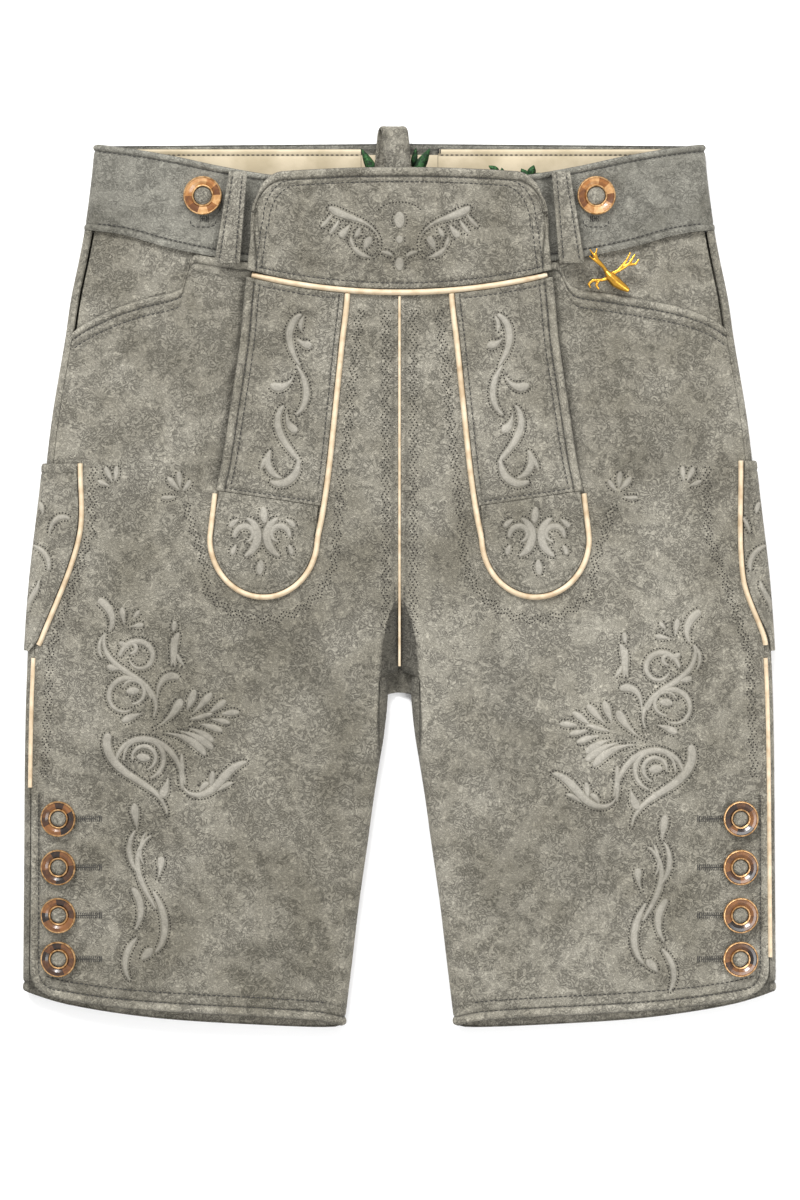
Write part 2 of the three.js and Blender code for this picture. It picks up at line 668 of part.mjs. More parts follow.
// Strip down each side of the flap, from the flap's seam to its tongue.
function strip(side) {
  const inset = PIPING.strip.width / 2 + SEAM_GAP;
  const rows = steps(0, 1, 8).map((t) =>
    steps(0, 1, 3).map((share) => {
      let [x, y] = [80, 120];
      for (let k = 0; k < 4; k += 1) {
        const top = flapSeamAt(x) - PIPING.flap.width / 2 - SEAM_GAP;
        y = lerp(top, tongueSeamAt(x) + SEAM_GAP / 2, t);
        x = lerp(stripLineAt(y) + inset, flapOuterAt(y), share);
      }
      return overFront(side * x, y, flapLift(x, y) + CLOTH);
    }),
  );
  return wall(rows, CLOTH);
}

// Outline of a tongue with its piping: half an ellipse below its widest line, straight above it.
function tongueBottomAt(share, inset) {
  const reach = Math.sqrt(Math.max(1 - (2 * share - 1) ** 2, 0));
  return TONGUE.y - (TONGUE.depth - inset) * reach;
}
function tongueEdgesAt(y, inset) {
  const up = clamp((y - TONGUE.y) / (TONGUE.seamOuter - TONGUE.y), 0, 1);
  const inner = lerp(TONGUE.x - TONGUE.halfWidth, stripLineAt(TONGUE.seamInner) - PIPING.strip.width / 2, up);
  const outer = lerp(TONGUE.x + TONGUE.halfWidth, flapOuterAt(TONGUE.seamOuter) + 2, up);
  return [inner + inset, outer - inset];
}

function tongue(side) {
  const inset = PIPING.strip.width + SEAM_GAP;
  const shares = [0, 0.04, 0.14, 0.3, 0.5, 0.7, 0.86, 0.96, 1];
  const rows = steps(0, 1, 4).map((t) =>
    shares.map((share) => {
      let [x, y] = [90, 30];
      for (let k = 0; k < 4; k += 1) {
        y = lerp(tongueSeamAt(x) - SEAM_GAP / 2, tongueBottomAt(share, inset), t);
        const [inner, outer] = tongueEdgesAt(y, inset);
        x = lerp(inner, outer, share);
      }
      return overFront(side * x, y, flapLift(x, y) + CLOTH);
    }),
  );
  return wall(rows, CLOTH);
}

// Piping down the inner side of a strip and round its tongue to the seam at the outer side. It turns
// from the strip's line to the tongue's edge on a short bend.
const PIPING_BEND = { above: 4, y: 40, tongueY: 38 };
const PIPING_END = { x: 127, below: 2 };

function stripPiping(side) {
  const inset = PIPING.strip.width / 2;
  const start = flapSeamAt(FLAP_EDGE.at(-1).strip) - PIPING.flap.width / 2 - SEAM_GAP;
  const straight = steps(start, TONGUE.seamInner + PIPING_BEND.above, 7);
  const places = straight.map((y) => [stripLineAt(y), y]);
  const tongueX = tongueEdgesAt(PIPING_BEND.tongueY, inset)[0];
  places.push([lerp(stripLineAt(TONGUE.seamInner), tongueX, 0.5), PIPING_BEND.y]);
  for (const turn of steps(180, 360, 12)) {
    const share = 0.5 + 0.5 * Math.cos(degToRad(turn));
    const y = tongueBottomAt(share, inset);
    const [inner, outer] = tongueEdgesAt(y, inset);
    places.push([lerp(inner, outer, share), y]);
  }
  const end = tongueSeamAt(PIPING_END.x) - PIPING_END.below;
  for (const y of steps(TONGUE.y, end, 3).slice(1)) places.push([tongueEdgesAt(y, inset)[1], y]);
  return bead(places.map(([x, y]) => overFront(side * x, y, SEAT)), PIPING.strip);
}

for (const side of [RIGHT, LEFT]) {
  addPiece(`strip_${sideName(side)}`, strip(side), 'suede');
  addPiece(`tongue_${sideName(side)}`, tongue(side), 'suede');
  addPiece(`piping_strip_${sideName(side)}`, stripPiping(side), 'piping');
}

// Piping across the foot of the flap's top panel.
const FLAP_PIPING_HALF = 102;
const flapPipingAcross = steps(-FLAP_PIPING_HALF, FLAP_PIPING_HALF, 16);
const flapPipingPlaces = flapPipingAcross.map((x) => overFront(x, flapSeamAt(x), SEAT));
addPiece('piping_flap', bead(flapPipingPlaces, PIPING.flap), 'piping');

// Piping of the centre seam, from the flap's seam down the valley to the crotch.
const CENTRE_GAP = 0.5; // from the flap's piping, and from the leather under it
const CENTRE_BEND_ROWS = [10, 0, -10, -20, -32, -44, -54, CROTCH + 3];

function centrePiping() {
  const top = flapSeamAt(0) - PIPING.flap.width / 2 - CENTRE_GAP;
  const places = [...steps(top, 20, 5), ...CENTRE_BEND_ROWS].map((y) => {
    const beside = Math.max(outerPoint(LEFT, 0.25, y).z, outerPoint(RIGHT, 0.25, y).z);
    const point = new THREE.Vector3(0, y, beside + CENTRE_GAP);
    return { point, normal: new THREE.Vector3(0, 0, 1) };
  });
  return bead(places, PIPING.centre);
}
addPiece('piping_centre', centrePiping(), 'piping');

// Side patches, wrapped round the side fold, with piping along their front edges.
const PATCH_ROWS = [56, 27, 4, -20, -36, -44];
const PATCH_PIPING_ROWS = [62, 44, 30, 16, 2, -14, -30, -40, -47];
const SIDE_PIPING_SEAT = 0.4;

function sidePatch(side) {
  const edgeAt = through(PATCH_EDGE[side], 'y', 'x');
  const [bottom, top] = [PATCH_EDGE[side][0].y, PATCH_EDGE[side].at(-1).y];
  const under = turnToStretch(PATCH_UNDER_TURN);
  const rows = [top, ...PATCH_ROWS, bottom].map((y) => {
    const start = stretchAt(side, edgeAt(y) + PIPING.patch.width / 2 + SEAM_GAP, y);
    return steps(start, under, 8).map((s) => skin(side, s, y, PATCH_SEAT + CLOTH));
  });
  return wall(rows, CLOTH);
}

function patchPiping(side) {
  const edgeAt = through(PATCH_EDGE[side], 'y', 'x');
  const top = PATCH_EDGE[side].at(-1).y;
  const places = [top, ...PATCH_PIPING_ROWS].map((y) => {
    const s = stretchAt(side, edgeAt(y), y);
    return skin(side, s, y, SEAT);
  });
  return bead(places, PIPING.patch);
}

function sidePiping(side) {
  const { top, bottom } = SIDE_PIPING[side];
  const seam = turnToStretch(SIDE_SEAM_TURN);
  const places = steps(top, bottom, 8).map((y) => skin(side, seam, y, SIDE_PIPING_SEAT));
  return bead(places, PIPING.side);
}

for (const side of [RIGHT, LEFT]) {
  addPiece(`side_patch_${sideName(side)}`, sidePatch(side), 'suede');
  addPiece(`piping_patch_${sideName(side)}`, patchPiping(side), 'piping');
  addPiece(`piping_side_${sideName(side)}`, sidePiping(side), 'piping');
}

// Belt loops on the front of the waistband.
function beltLoop(side) {
  const loop = BELT_LOOP;
  const rows = steps(0, 1, 8).map((t) => {
    const middle = lerp(loop.topX, loop.bottomX, t);
    const half = lerp(loop.topWidth, loop.bottomWidth, t) / 2;
    const hump = LOOP_HUMP * Math.sin(Math.PI * t) ** 0.6;
    return steps(-1, 1, 2).map((share) => {
      const y = lerp(loop.topY, loop.bottomY, t);
      const lift = SEAT + EDGE_LIFT + FLAP + hump + LOOP_CLOTH;
      return overFront(side * (middle + share * half), y, lift);
    });
  });
  return wall(rows, LOOP_CLOTH);
}

// Hanging loop: up from inside the back of the waistband, over past its edge, and down again.
function hangingLoop() {
  const loop = HANGING_LOOP;
  const low = FACING_Z + SEAT;
  const places = [];
  const topCentre = loop.topY - loop.bend - LOOP_CLOTH / 2;
  const middleZ = low + LOOP_CLOTH / 2 + loop.bend;
  for (const y of steps(loop.backY, topCentre, 3)) places.push([y, middleZ - loop.bend]);
  for (const degrees of steps(-90, 90, 6).slice(1)) {
    const turn = degToRad(degrees);
    places.push([topCentre + loop.bend * Math.cos(turn), middleZ + loop.bend * Math.sin(turn)]);
  }
  for (const y of steps(topCentre, loop.frontY, 4).slice(1)) places.push([y, middleZ + loop.bend]);
  const rows = places.map(([y, z], k) => {
    const before = places[Math.max(k - 1, 0)];
    const after = places[Math.min(k + 1, places.length - 1)];
    const normal = new THREE.Vector3(0, after[1] - before[1], before[0] - after[0]).normalize();
    const slant = loop.slant * (1 - k / (places.length - 1));
    return steps(-1, 1, 2).map((share) => {
      const x = slant + (share * loop.width) / 2;
      return { point: new THREE.Vector3(x, y, z).addScaledVector(normal, LOOP_CLOTH / 2), normal };
    });
  });
  return wall(rows, LOOP_CLOTH);
}

for (const side of [RIGHT, LEFT]) addPiece(`belt_loop_${sideName(side)}`, beltLoop(side), 'suedeLight');
addPiece('hanging_loop', hangingLoop(), 'suedeLight');

// Ring buttons, each turned to lie on the cloth under it.
function turned(profile, sides) {
  const geometry = new THREE.LatheGeometry(profile.map(([r, z]) => new THREE.Vector2(r, z)), sides);
  geometry.deleteAttribute('normal');
  geometry.deleteAttribute('uv');
  const merged = mergeVertices(geometry, 1e-4);
  merged.rotateX(Math.PI / 2);
  const corners = [];
  const position = merged.getAttribute('position');
  for (let k = 0; k < position.count; k += 1) {
    corners.push(new THREE.Vector3().fromBufferAttribute(position, k));
  }
  const faces = [];
  const index = merged.getIndex();
  for (let k = 0; k < index.count; k += 3) {
    const face = [index.getX(k), index.getX(k + 1), index.getX(k + 2)];
    if (new Set(face).size === 3) faces.push(face);
  }
  return solid(corners, faces);
}

function ringProfile({ radius, hole, height }) {
  const profile = [
    [hole, 0], [radius - 1.6, 0], [radius, height * 0.36], [radius - 0.9, height * 0.8],
    [radius - 3.2, height], [hole + 0.9, height * 0.72], [hole, height * 0.5],
  ];
  return [...profile, profile[0]];
}

function domeProfile({ hole, dome }) {
  const radius = hole - SEAM_GAP;
  return [[0, 0], [radius, 0], [radius, dome * 0.5], [radius * 0.72, dome * 0.88], [0, dome]];
}

function addButton(name, button, x, y, look) {
  const { point, normal } = overFront(x, y, SEAT);
  const turn = new THREE.Quaternion().setFromUnitVectors(new THREE.Vector3(0, 0, 1), normal);
  const parts = [
    ['ring', ringProfile(button), look],
    ['centre', domeProfile(button), 'suedeLight'],
  ];
  for (const [part, profile, material] of parts) {
    const mesh = addPiece(`button_${name}_${part}`, turned(profile, RING_SIDES), material);
    mesh.position.copy(point);
    mesh.quaternion.copy(turn);
  }
}

for (const side of [RIGHT, LEFT]) {
  addButton(`waist_${sideName(side)}`, WAIST_BUTTON, side * WAIST_BUTTON.x, WAIST_BUTTON.y, 'amberHorn');
  LEG_BUTTON_ROWS.forEach((y, k) => {
    addButton(`leg_${sideName(side)}_${k + 1}`, LEG_BUTTON, side * LEG_BUTTON.x, y, 'darkHorn');
  });
}

// Charm: head, ears and two antlers with their tines, joined into one casting.
function taper(points, radii, sides = 6) {
  const corners = [];
  points.forEach((point, k) => {
    const before = points[Math.max(k - 1, 0)];
    const after = points[Math.min(k + 1, points.length - 1)];
    const along = after.clone().sub(before).normalize();
    const across = new THREE.Vector3(0, 0, 1).cross(along).normalize();
    const up = along.clone().cross(across);
    for (let c = 0; c < sides; c += 1) {
      const turn = (2 * Math.PI * c) / sides;
      const out = across.clone().multiplyScalar(Math.cos(turn)).addScaledVector(up, Math.sin(turn));
      corners.push(point.clone().addScaledVector(out, radii[k]));
    }
  });
  const faces = [];
  for (let k = 0; k < points.length - 1; k += 1) {
    for (let c = 0; c < sides; c += 1) {
      const [a, b] = [k * sides + c, k * sides + ((c + 1) % sides)];
      faces.push([a, b, b + sides], [a, b + sides, a + sides]);
    }
  }
  const last = (points.length - 1) * sides;
  for (let c = 1; c < sides - 1; c += 1) faces.push([0, c + 1, c], [last, last + c, last + c + 1]);
  return solid(corners, faces);
}

const wasm = await Module();
wasm.setup();

function toManifold(geometry) {
  return new wasm.Manifold(new wasm.Mesh({
    numProp: 3,
    vertProperties: geometry.getAttribute('position').array,
    triVerts: Uint32Array.from(geometry.getIndex().array),
  }));
}

function charm() {
  const at = (x, y, z = 0) => new THREE.Vector3(x, y, z);
  const head = [at(-1.5, 2), at(1, -1), at(5, -5, 0.4), at(10, -8.5, 0.2), at(14, -11)];
  const muzzle = [at(1, -2), at(-5, -3.6, 0.3), at(-11, -3.8, 0.3), at(-14, -6.4), at(-12.4, -9)];
  const branches = [
    taper(head, [1.8, 3.4, 3.9, 2.8, 1.5], 8),
    // Left antler and its two tines.
    taper([at(0, 0), at(-4, 6, 0.6), at(-9, 12, 0.6), at(-13, 17.5)], [1.7, 1.3, 1.1, 0.7]),
    taper([at(-4, 5.6, 0.6), at(-8.6, 9, 0.9), at(-13.4, 13, 0.6)], [1.1, 0.9, 0.6]),
    taper([at(-8, 11, 0.6), at(-9, 15, 0.8), at(-8, 18.4, 0.6)], [1.0, 0.8, 0.6]),
    // Right antler and its two tines.
    taper([at(0, 0), at(7, 3, 0.6), at(14, 7.5, 0.6), at(18.4, 14.5)], [1.7, 1.3, 1.2, 0.7]),
    taper([at(6, 2.6, 0.6), at(12, 9.5, 0.9), at(15, 15.5, 0.6)], [1.1, 0.9, 0.6]),
    taper([at(13, 7, 0.6), at(18.5, 7.4, 0.8), at(21, 11, 0.6)], [1.1, 1.1, 0.7]),
    // Muzzle and jaw.
    taper(muzzle, [1.4, 1.2, 1.3, 1.1, 0.8]),
    taper([at(-7, -3.6, 0.2), at(-8.6, -7.4, 0.4), at(-6.6, -10)], [1.1, 1.2, 0.8]),
  ];
  const cast = branches.map(toManifold).reduce((whole, branch) => whole.add(branch));
  const mesh = cast.getMesh();
  const geometry = new THREE.BufferGeometry();
  geometry.setAttribute('position', new THREE.BufferAttribute(new Float32Array(mesh.vertProperties), 3));
  geometry.setIndex(Array.from(mesh.triVerts));
  return geometry;
}

const charmMesh = addPiece('charm', charm(), 'gold');
charmMesh.position.set(CHARM.x, CHARM.y, frontHeight(CHARM.x, CHARM.y) + SEAT + CHARM.lift);

export default garment;
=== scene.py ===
# Short lederhosen with a front flap, laid flat on their back: sueded leather legs, cream piping,
# horn buttons and a small gold charm. The pieces come in the order in which a maker puts them
# together. Shapes are worked out in millimetres, in the frame's own directions.
import math
import bpy
import numpy as np
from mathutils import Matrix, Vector
from mathutils.bvhtree import BVHTree


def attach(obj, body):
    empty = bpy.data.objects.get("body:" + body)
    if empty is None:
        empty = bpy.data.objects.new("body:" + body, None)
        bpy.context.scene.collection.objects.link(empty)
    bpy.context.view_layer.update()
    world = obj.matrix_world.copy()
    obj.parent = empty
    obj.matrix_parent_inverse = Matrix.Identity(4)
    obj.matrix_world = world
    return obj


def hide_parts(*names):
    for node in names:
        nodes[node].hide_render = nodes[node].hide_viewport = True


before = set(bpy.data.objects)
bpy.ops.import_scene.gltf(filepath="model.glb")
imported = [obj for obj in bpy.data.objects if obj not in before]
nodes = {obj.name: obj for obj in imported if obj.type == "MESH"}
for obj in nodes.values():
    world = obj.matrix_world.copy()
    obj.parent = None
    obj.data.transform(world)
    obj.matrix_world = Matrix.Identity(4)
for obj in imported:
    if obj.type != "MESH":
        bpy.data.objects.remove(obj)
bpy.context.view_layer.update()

# Legs: two fronts and two backs of sueded split leather, about 1.8 mm thick, brushed to a short nap.
# Front and back meet at the side seam, just above the side fold, and at the inseam on the inner fold.
# The leather lies slack, so it carries soft folds and creases of many sizes.
MM = 0.001
RIGHT, LEFT = -1, 1
SIDES = {"right": RIGHT, "left": LEFT}
CLOTH = 1.8
SEAM_GAP = 0.3
CROTCH, FORK = -64.8, -71.0
CROTCH_BACK, FORK_BACK = -60.0, -84.0
SIDE_SEAM_TURN, SEAM_TURN_GAP = 68.0, 1.5
STITCH_BED = 0.9


def table(names, *rows):
    """Named columns of numbers, a row for each place."""
    return {name: np.array(column, float) for name, column in zip(names.split(), zip(*rows))}


SECTIONS = table(
    "y outer fold crown",
    (-330, 263.0, 7.4, 19.5),
    (-282, 262.5, 7.5, 20.5),
    (-198, 261.8, 7.7, 22.0),
    (-114, 261.1, 8.0, 23.0),
    (-58, 259.4, 8.2, 23.5),
    (-2, 255.5, 8.4, 24.5),
    (54, 248.9, 8.6, 25.5),
    (110, 242.4, 8.8, 26.5),
    (166, 233.1, 8.9, 27.0),
    (194, 229.0, 9.0, 27.5),
    (222, 223.2, 9.0, 28.0),
    (242, 219.5, 9.0, 28.5),
    (278, 214.7, 9.0, 29.0),
    (299, 212.8, 9.0, 29.0),
    (330, 211.0, 9.0, 29.0),
)
INNER_FOLD = table(
    "y inner seam",
    (-330, 40.4, 0),
    (-296, 36.4, 0),
    (-268, 33.0, 0),
    (-226, 28.0, 0),
    (-184, 22.0, 0),
    (-156, 18.2, 0),
    (-128, 13.8, 15),
    (-110, 10.8, 50),
    (-84, 8.2, 74),
    (-60, 8.2, 74),
)
HEMS = table(
    "x front back",
    (20, -313.0, -313.4),
    (39, -312.4, -313.9),
    (46, -310.6, -314.4),
    (58, -308.2, -314.6),
    (98, -305.2, -313.0),
    (159, -301.8, -309.3),
    (199, -298.5, -304.6),
    (233, -293.8, -298.6),
    (250, -289.8, -293.8),
    (264, -287.6, -288.6),
)
WAIST = table(
    "x bottom top",
    (0, 215.0, 272.0),
    (84, 217.2, 278.0),
    (122, 221.8, 284.2),
    (157, 229.0, 291.8),
    (189, 237.9, 297.6),
    (220, 242.2, 301.8),
)
WAIST_BACK = {"bottom": 242.0, "side": 301.8, "centre": 303.4}
POCKET_MOUTH = {
    RIGHT: table(
        "x y",
        (141.0, 224.6),
        (145.6, 219.0),
        (147.6, 206.5),
        (152.5, 199.8),
        (177.0, 193.5),
        (198.0, 186.5),
        (219.5, 176.0),
        (230.0, 168.0),
        (240.0, 158.0),
    ),
    LEFT: table(
        "x y",
        (109.0, 218.6),
        (112.0, 214.0),
        (116.5, 204.5),
        (124.0, 199.8),
        (142.5, 197.0),
        (180.0, 191.0),
        (201.0, 186.0),
        (217.0, 179.5),
        (228.0, 172.0),
        (240.0, 160.0),
    ),
}
# The flap's open outer edge, and the piping down each strip. Beside that edge, painted shade.
FLAP_EDGE = table(
    "y outer strip",
    (46, 129.0, 53.0),
    (62, 127.0, 50.6),
    (80, 123.2, 48.3),
    (121, 116.8, 44.0),
    (163, 110.6, 39.7),
    (197, 107.4, 36.0),
    (253, 100.5, 36.0),
)
# Large folds: middle, direction from +X in degrees, half length, half width, and rise.
FOLDS = table(
    "x y turn long wide rise",
    (-206, -136, -34, 42, 22, -2.4),
    (-156, -202, -67, 52, 22, -2.0),
    (-104, -186, 82, 66, 34, 1.6),
    (-60, -70, -58, 42, 20, -2.2),
    (-188, 62, -100, 56, 20, -2.0),
    (-84, -268, -17, 40, 20, -1.8),
    (76, -82, -68, 60, 22, -2.8),
    (72, -140, 8, 38, 18, -1.6),
    (184, 82, 14, 44, 20, -1.8),
    (188, -40, -29, 42, 22, 1.8),
    (132, -206, 86, 58, 32, -1.8),
    (74, -236, -42, 36, 20, -1.6),
)
# Small creases of the fronts, and those of the backs, in the same columns.
CREASES = table(
    "x y turn long wide rise",
    (-36, -92, -52, 34, 5.0, -0.54),
    (-58, -112, -40, 30, 4.5, -0.42),
    (-30, -128, -62, 26, 4.0, 0.3),
    (-196, -24, 58, 30, 6.0, -0.36),
    (-224, -88, 72, 34, 5.0, -0.3),
    (-120, -232, 24, 32, 6.0, 0.36),
    (-66, -214, 70, 40, 7.0, -0.42),
    (-150, -276, 12, 30, 5.0, -0.3),
    (-152, 120, 78, 36, 6.0, -0.36),
    (-206, 128, -72, 40, 7.0, 0.42),
    (40, -96, -126, 34, 5.0, -0.6),
    (62, -120, -138, 32, 4.5, -0.48),
    (34, -142, 66, 30, 4.0, 0.36),
    (98, -170, 20, 36, 6.0, -0.36),
    (204, -96, 64, 34, 6.0, -0.42),
    (212, 20, -58, 30, 5.0, 0.36),
    (112, -252, -18, 34, 6.0, -0.36),
    (58, -272, 58, 26, 5.0, 0.3),
    (150, 122, 104, 38, 6.0, -0.36),
    (206, 140, 76, 36, 6.0, -0.3),
)
BACK_CREASES = table(
    "x y turn long wide rise",
    (-62, -66, 34, 46, 8.0, -0.48),
    (-96, -22, 22, 50, 9.0, 0.42),
    (-150, -120, -28, 44, 8.0, -0.42),
    (-88, -196, 74, 48, 8.0, 0.36),
    (-176, 96, 82, 54, 9.0, -0.42),
    (-206, -230, 66, 40, 7.0, -0.36),
    (58, -62, -38, 44, 8.0, -0.54),
    (104, -14, -20, 52, 9.0, 0.36),
    (162, -104, 32, 46, 8.0, -0.42),
    (92, -210, -70, 44, 8.0, 0.36),
    (168, 110, 96, 50, 9.0, -0.36),
    (210, -214, -62, 42, 7.0, -0.42),
)


def mix(a, b, t):
    return a + (b - a) * t


def smooth(value, low, high):
    t = np.clip((value - low) / (high - low), 0, 1)
    return t * t * (3 - 2 * t)


def through(rows, at, column):
    """The value of one column at any place along another, on a smooth line through the rows."""
    places, values = rows[at], rows[column]
    last = len(places) - 1
    before = np.maximum(np.arange(last + 1) - 1, 0)
    after = np.minimum(np.arange(last + 1) + 1, last)
    slopes = (values[after] - values[before]) / (places[after] - places[before])

    def value(where):
        k = np.clip(np.searchsorted(places, where) - 1, 0, last - 1)
        span = places[k + 1] - places[k]
        t = np.clip((where - places[k]) / span, 0, 1)
        rise = values[k + 1] - values[k]
        bend = (1 - t) * (slopes[k] * span - rise) - t * (slopes[k + 1] * span - rise)
        return values[k] + t * rise + t * (1 - t) * bend

    return value


outer_at = through(SECTIONS, "y", "outer")
fold_at = through(SECTIONS, "y", "fold")
crown_at = through(SECTIONS, "y", "crown")
inner_at = through(INNER_FOLD, "y", "inner")
inseam_at = through(INNER_FOLD, "y", "seam")
front_hem_at = through(HEMS, "x", "front")
back_hem_at = through(HEMS, "x", "back")
band_bottom_at = through(WAIST, "x", "bottom")
band_top_at = through(WAIST, "x", "top")
flap_outer_at = through(FLAP_EDGE, "y", "outer")
strip_line_at = through(FLAP_EDGE, "y", "strip")


def fold_rise(x, y, folds):
    """Rise of slack leather over its plain form, from a table of soft troughs and ridges."""
    rise = np.zeros(np.broadcast(x, y).shape)
    for fx, fy, degrees, long, wide, high in zip(*folds.values()):
        turn = math.radians(degrees)
        along = (x - fx) * math.cos(turn) + (y - fy) * math.sin(turn)
        across = (y - fy) * math.cos(turn) - (x - fx) * math.sin(turn)
        reach = np.minimum((along / long) ** 2 + (across / wide) ** 2, 1)
        rise += high * (1 - reach) ** 2
    return rise


def front_height(x, y):
    """Height of the front's outer face between its folds."""
    fold = fold_at(y)
    end = outer_at(y) - fold
    start = inner_at(y) + fold
    over_leg = np.clip(2 * (np.abs(x) - start) / (end - start) - 1, -1, 1)
    hip_crown = 1 - np.minimum(np.abs(x) / end, 1) ** 2.2
    leg_crown = 1 - np.abs(over_leg) ** 2.4
    crown = mix(leg_crown, hip_crown, smooth(y, -100, 60))
    return 2 * fold + (crown_at(y) - 2 * fold) * crown + fold_rise(x, y, FOLDS)


VALLEY_START, VALLEY_NARROW, VALLEY_WIDE, VALLEY_FLOOR, VALLEY_TURN = 10, 3, 14, 9, 30


def section_point(side, s, y, leg, leg_back):
    """A point of the outer face. Stretch s runs 0 to 1 over the inner fold or centre valley, 1 to 2
    across the front, 2 to 3 round the side fold, 3 to 4 in across the back, and 4 to 5 to the
    centre back, or round the leg's inner fold up to the inseam."""
    fold, outer, inner, seam = fold_at(y), outer_at(y), inner_at(y), inseam_at(y)
    half_gap = SEAM_GAP / 2
    seam_gap = np.degrees(half_gap / fold)
    least = math.radians(VALLEY_TURN)
    valley = smooth(-y, -VALLEY_START, -CROTCH)
    width = mix(VALLEY_NARROW, VALLEY_WIDE, valley)
    front_start = np.where(leg, inner + fold, half_gap + width * math.cos(least))

    leg_turn = np.radians(mix(seam + seam_gap, 90, s))
    valley_turn = np.radians(mix(VALLEY_TURN, 90, s))
    valley_x = half_gap + width * (math.cos(least) - np.cos(valley_turn))
    valley_top = front_height(side * valley_x, y)
    depth = valley * (valley_top - VALLEY_FLOOR)
    sunk = 1 - (np.sin(valley_turn) - math.sin(least)) / (1 - math.sin(least))
    inner_x = np.where(leg, inner + fold * (1 - np.cos(leg_turn)), valley_x)
    inner_z = np.where(leg, fold * (1 + np.sin(leg_turn)), valley_top - depth * sunk)

    front_x = mix(front_start, outer - fold, s - 1)
    side_turn = np.radians(mix(90, -90, s - 2))
    side_x = outer - fold * (1 - np.cos(side_turn))
    side_z = fold * (1 + np.sin(side_turn))

    shut = np.clip((CROTCH_BACK - y) / (CROTCH_BACK - FORK_BACK), 0, 1)
    edge = half_gap + shut * inner_at(FORK_BACK)
    back_start = np.where(leg_back, inner, edge) + fold
    back_x = np.where(s <= 4, mix(outer - fold, back_start, s - 3), mix(back_start, edge, s - 4))
    back_turn = np.radians(mix(-90, seam - seam_gap, s - 4))
    rolled = leg_back & (s > 4)
    back_x = np.where(rolled, inner + fold * (1 - np.cos(back_turn)), back_x)
    back_z = np.where(rolled, fold * (1 + np.sin(back_turn)), 0)

    parts = [s < 1, s < 2, s <= 3]
    x = np.select(parts, [inner_x, front_x, side_x], back_x)
    z = np.select(parts, [inner_z, front_height(side * front_x, y), side_z], back_z)
    return np.stack([side * x, y + 0 * x, z], axis=-1)


def outer_point(side, s, y):
    """The same point, with the leather ruled straight across the fork, where the legs part."""
    s, y = np.broadcast_arrays(np.asarray(s, float), np.asarray(y, float))
    plain = section_point(side, s, y, y <= FORK, y <= FORK_BACK)
    no, yes = np.zeros(s.shape, bool), np.ones(s.shape, bool)
    for top, low, here in ((CROTCH, FORK, s < 2), (FORK, FORK_BACK, s > 3)):
        above = section_point(side, s, np.full(s.shape, top), no, no)
        below = section_point(side, s, np.full(s.shape, low), yes, yes if low == FORK_BACK else no)
        share = (top - y) / (top - low)
        ruled = mix(above, below, share[..., None])
        inside = here & (y < top) & (y > low)
        plain = np.where(inside[..., None], ruled, plain)
    return plain


def stretch_at(side, x, y):
    """The stretch value of a place on the front half, given its distance from the middle."""
    fold = fold_at(y)
    end = outer_at(y) - fold
    start = np.abs(outer_point(side, np.ones(np.shape(y)), y)[..., 0])
    turn = np.degrees(np.arccos(np.clip((x - end) / fold, -1, 1)))
    return np.where(x > end, 2 + (90 - turn) / 180, 1 + np.clip((x - start) / (end - start), 0, 1))


def turn_to_stretch(turn):
    return 2 + (90 - turn) / 180


def band_edges(side, s):
    """Lower and upper edge of the waistband at one stretch value."""
    x = np.abs(outer_point(side, s, 270)[..., 0])
    to_back = smooth(s, 2, 3)
    back_top = mix(WAIST_BACK["side"], WAIST_BACK["centre"], np.clip(s - 3, 0, 1))
    low = mix(band_bottom_at(x), WAIST_BACK["bottom"], to_back)
    return low, mix(band_top_at(x), back_top, to_back)


def front_top_at(side, s):
    """The top of a front: the waistband's lower edge, or the pocket's mouth."""
    mouth = POCKET_MOUTH[side]
    mouth_at = through(mouth, "x", "y")
    band = band_edges(side, s)[0] - SEAM_GAP
    y = np.full(s.shape, 200.0)
    for _ in range(12):
        x = np.abs(outer_point(side, s, y)[..., 0])
        line = np.where(x < mouth["x"][0], band, mouth_at(x))
        y = mix(y, np.minimum(line, band), 0.7)
    return y


def hem_at(side, s):
    y = np.full(s.shape, -300.0)
    for _ in range(4):
        x = np.abs(outer_point(side, s, y)[..., 0])
        to_back = np.where(s > 3, 1 - smooth(s, 4, 5), smooth(s, 2.1, 2.9))
        y = mix(front_hem_at(x), back_hem_at(x), to_back)
    return y


def close_at_ends(count, reach=0.06, times=3.0):
    """Values from 0 to 1, closer together near both ends, where an edge is turned and sewn."""
    t = np.linspace(0, 1, 400)
    density = 1 + times * (np.exp(-t / reach) + np.exp(-(1 - t) / reach))
    walk = np.concatenate([[0], np.cumsum((density[1:] + density[:-1]) / 2)])
    return np.interp(np.linspace(0, walk[-1], count), walk, t)


def ridge(distance, at, high, wide):
    """A soft ridge along a line, or a groove if its height is negative."""
    return high * np.exp(-(((distance - at) / wide) ** 2))


def turned_edge(distance, width, rise=1.1, deep=0.75):
    """Relief of an edge that is turned under and sewn: a soft roll, then the stitches' groove."""
    t = np.clip(distance / width, 0, 1)
    roll = rise * np.sin(np.pi * t ** 0.7) - rise * (1 - t) ** 6
    return roll - ridge(distance, width, deep, STITCH_BED)


def arc_lengths(points, axis):
    """Distance along one way of a grid of points, from its first line."""
    steps = np.linalg.norm(np.diff(points, axis=axis), axis=-1)
    lengths = np.cumsum(steps, axis=axis)
    return np.insert(lengths, 0, 0, axis=axis)


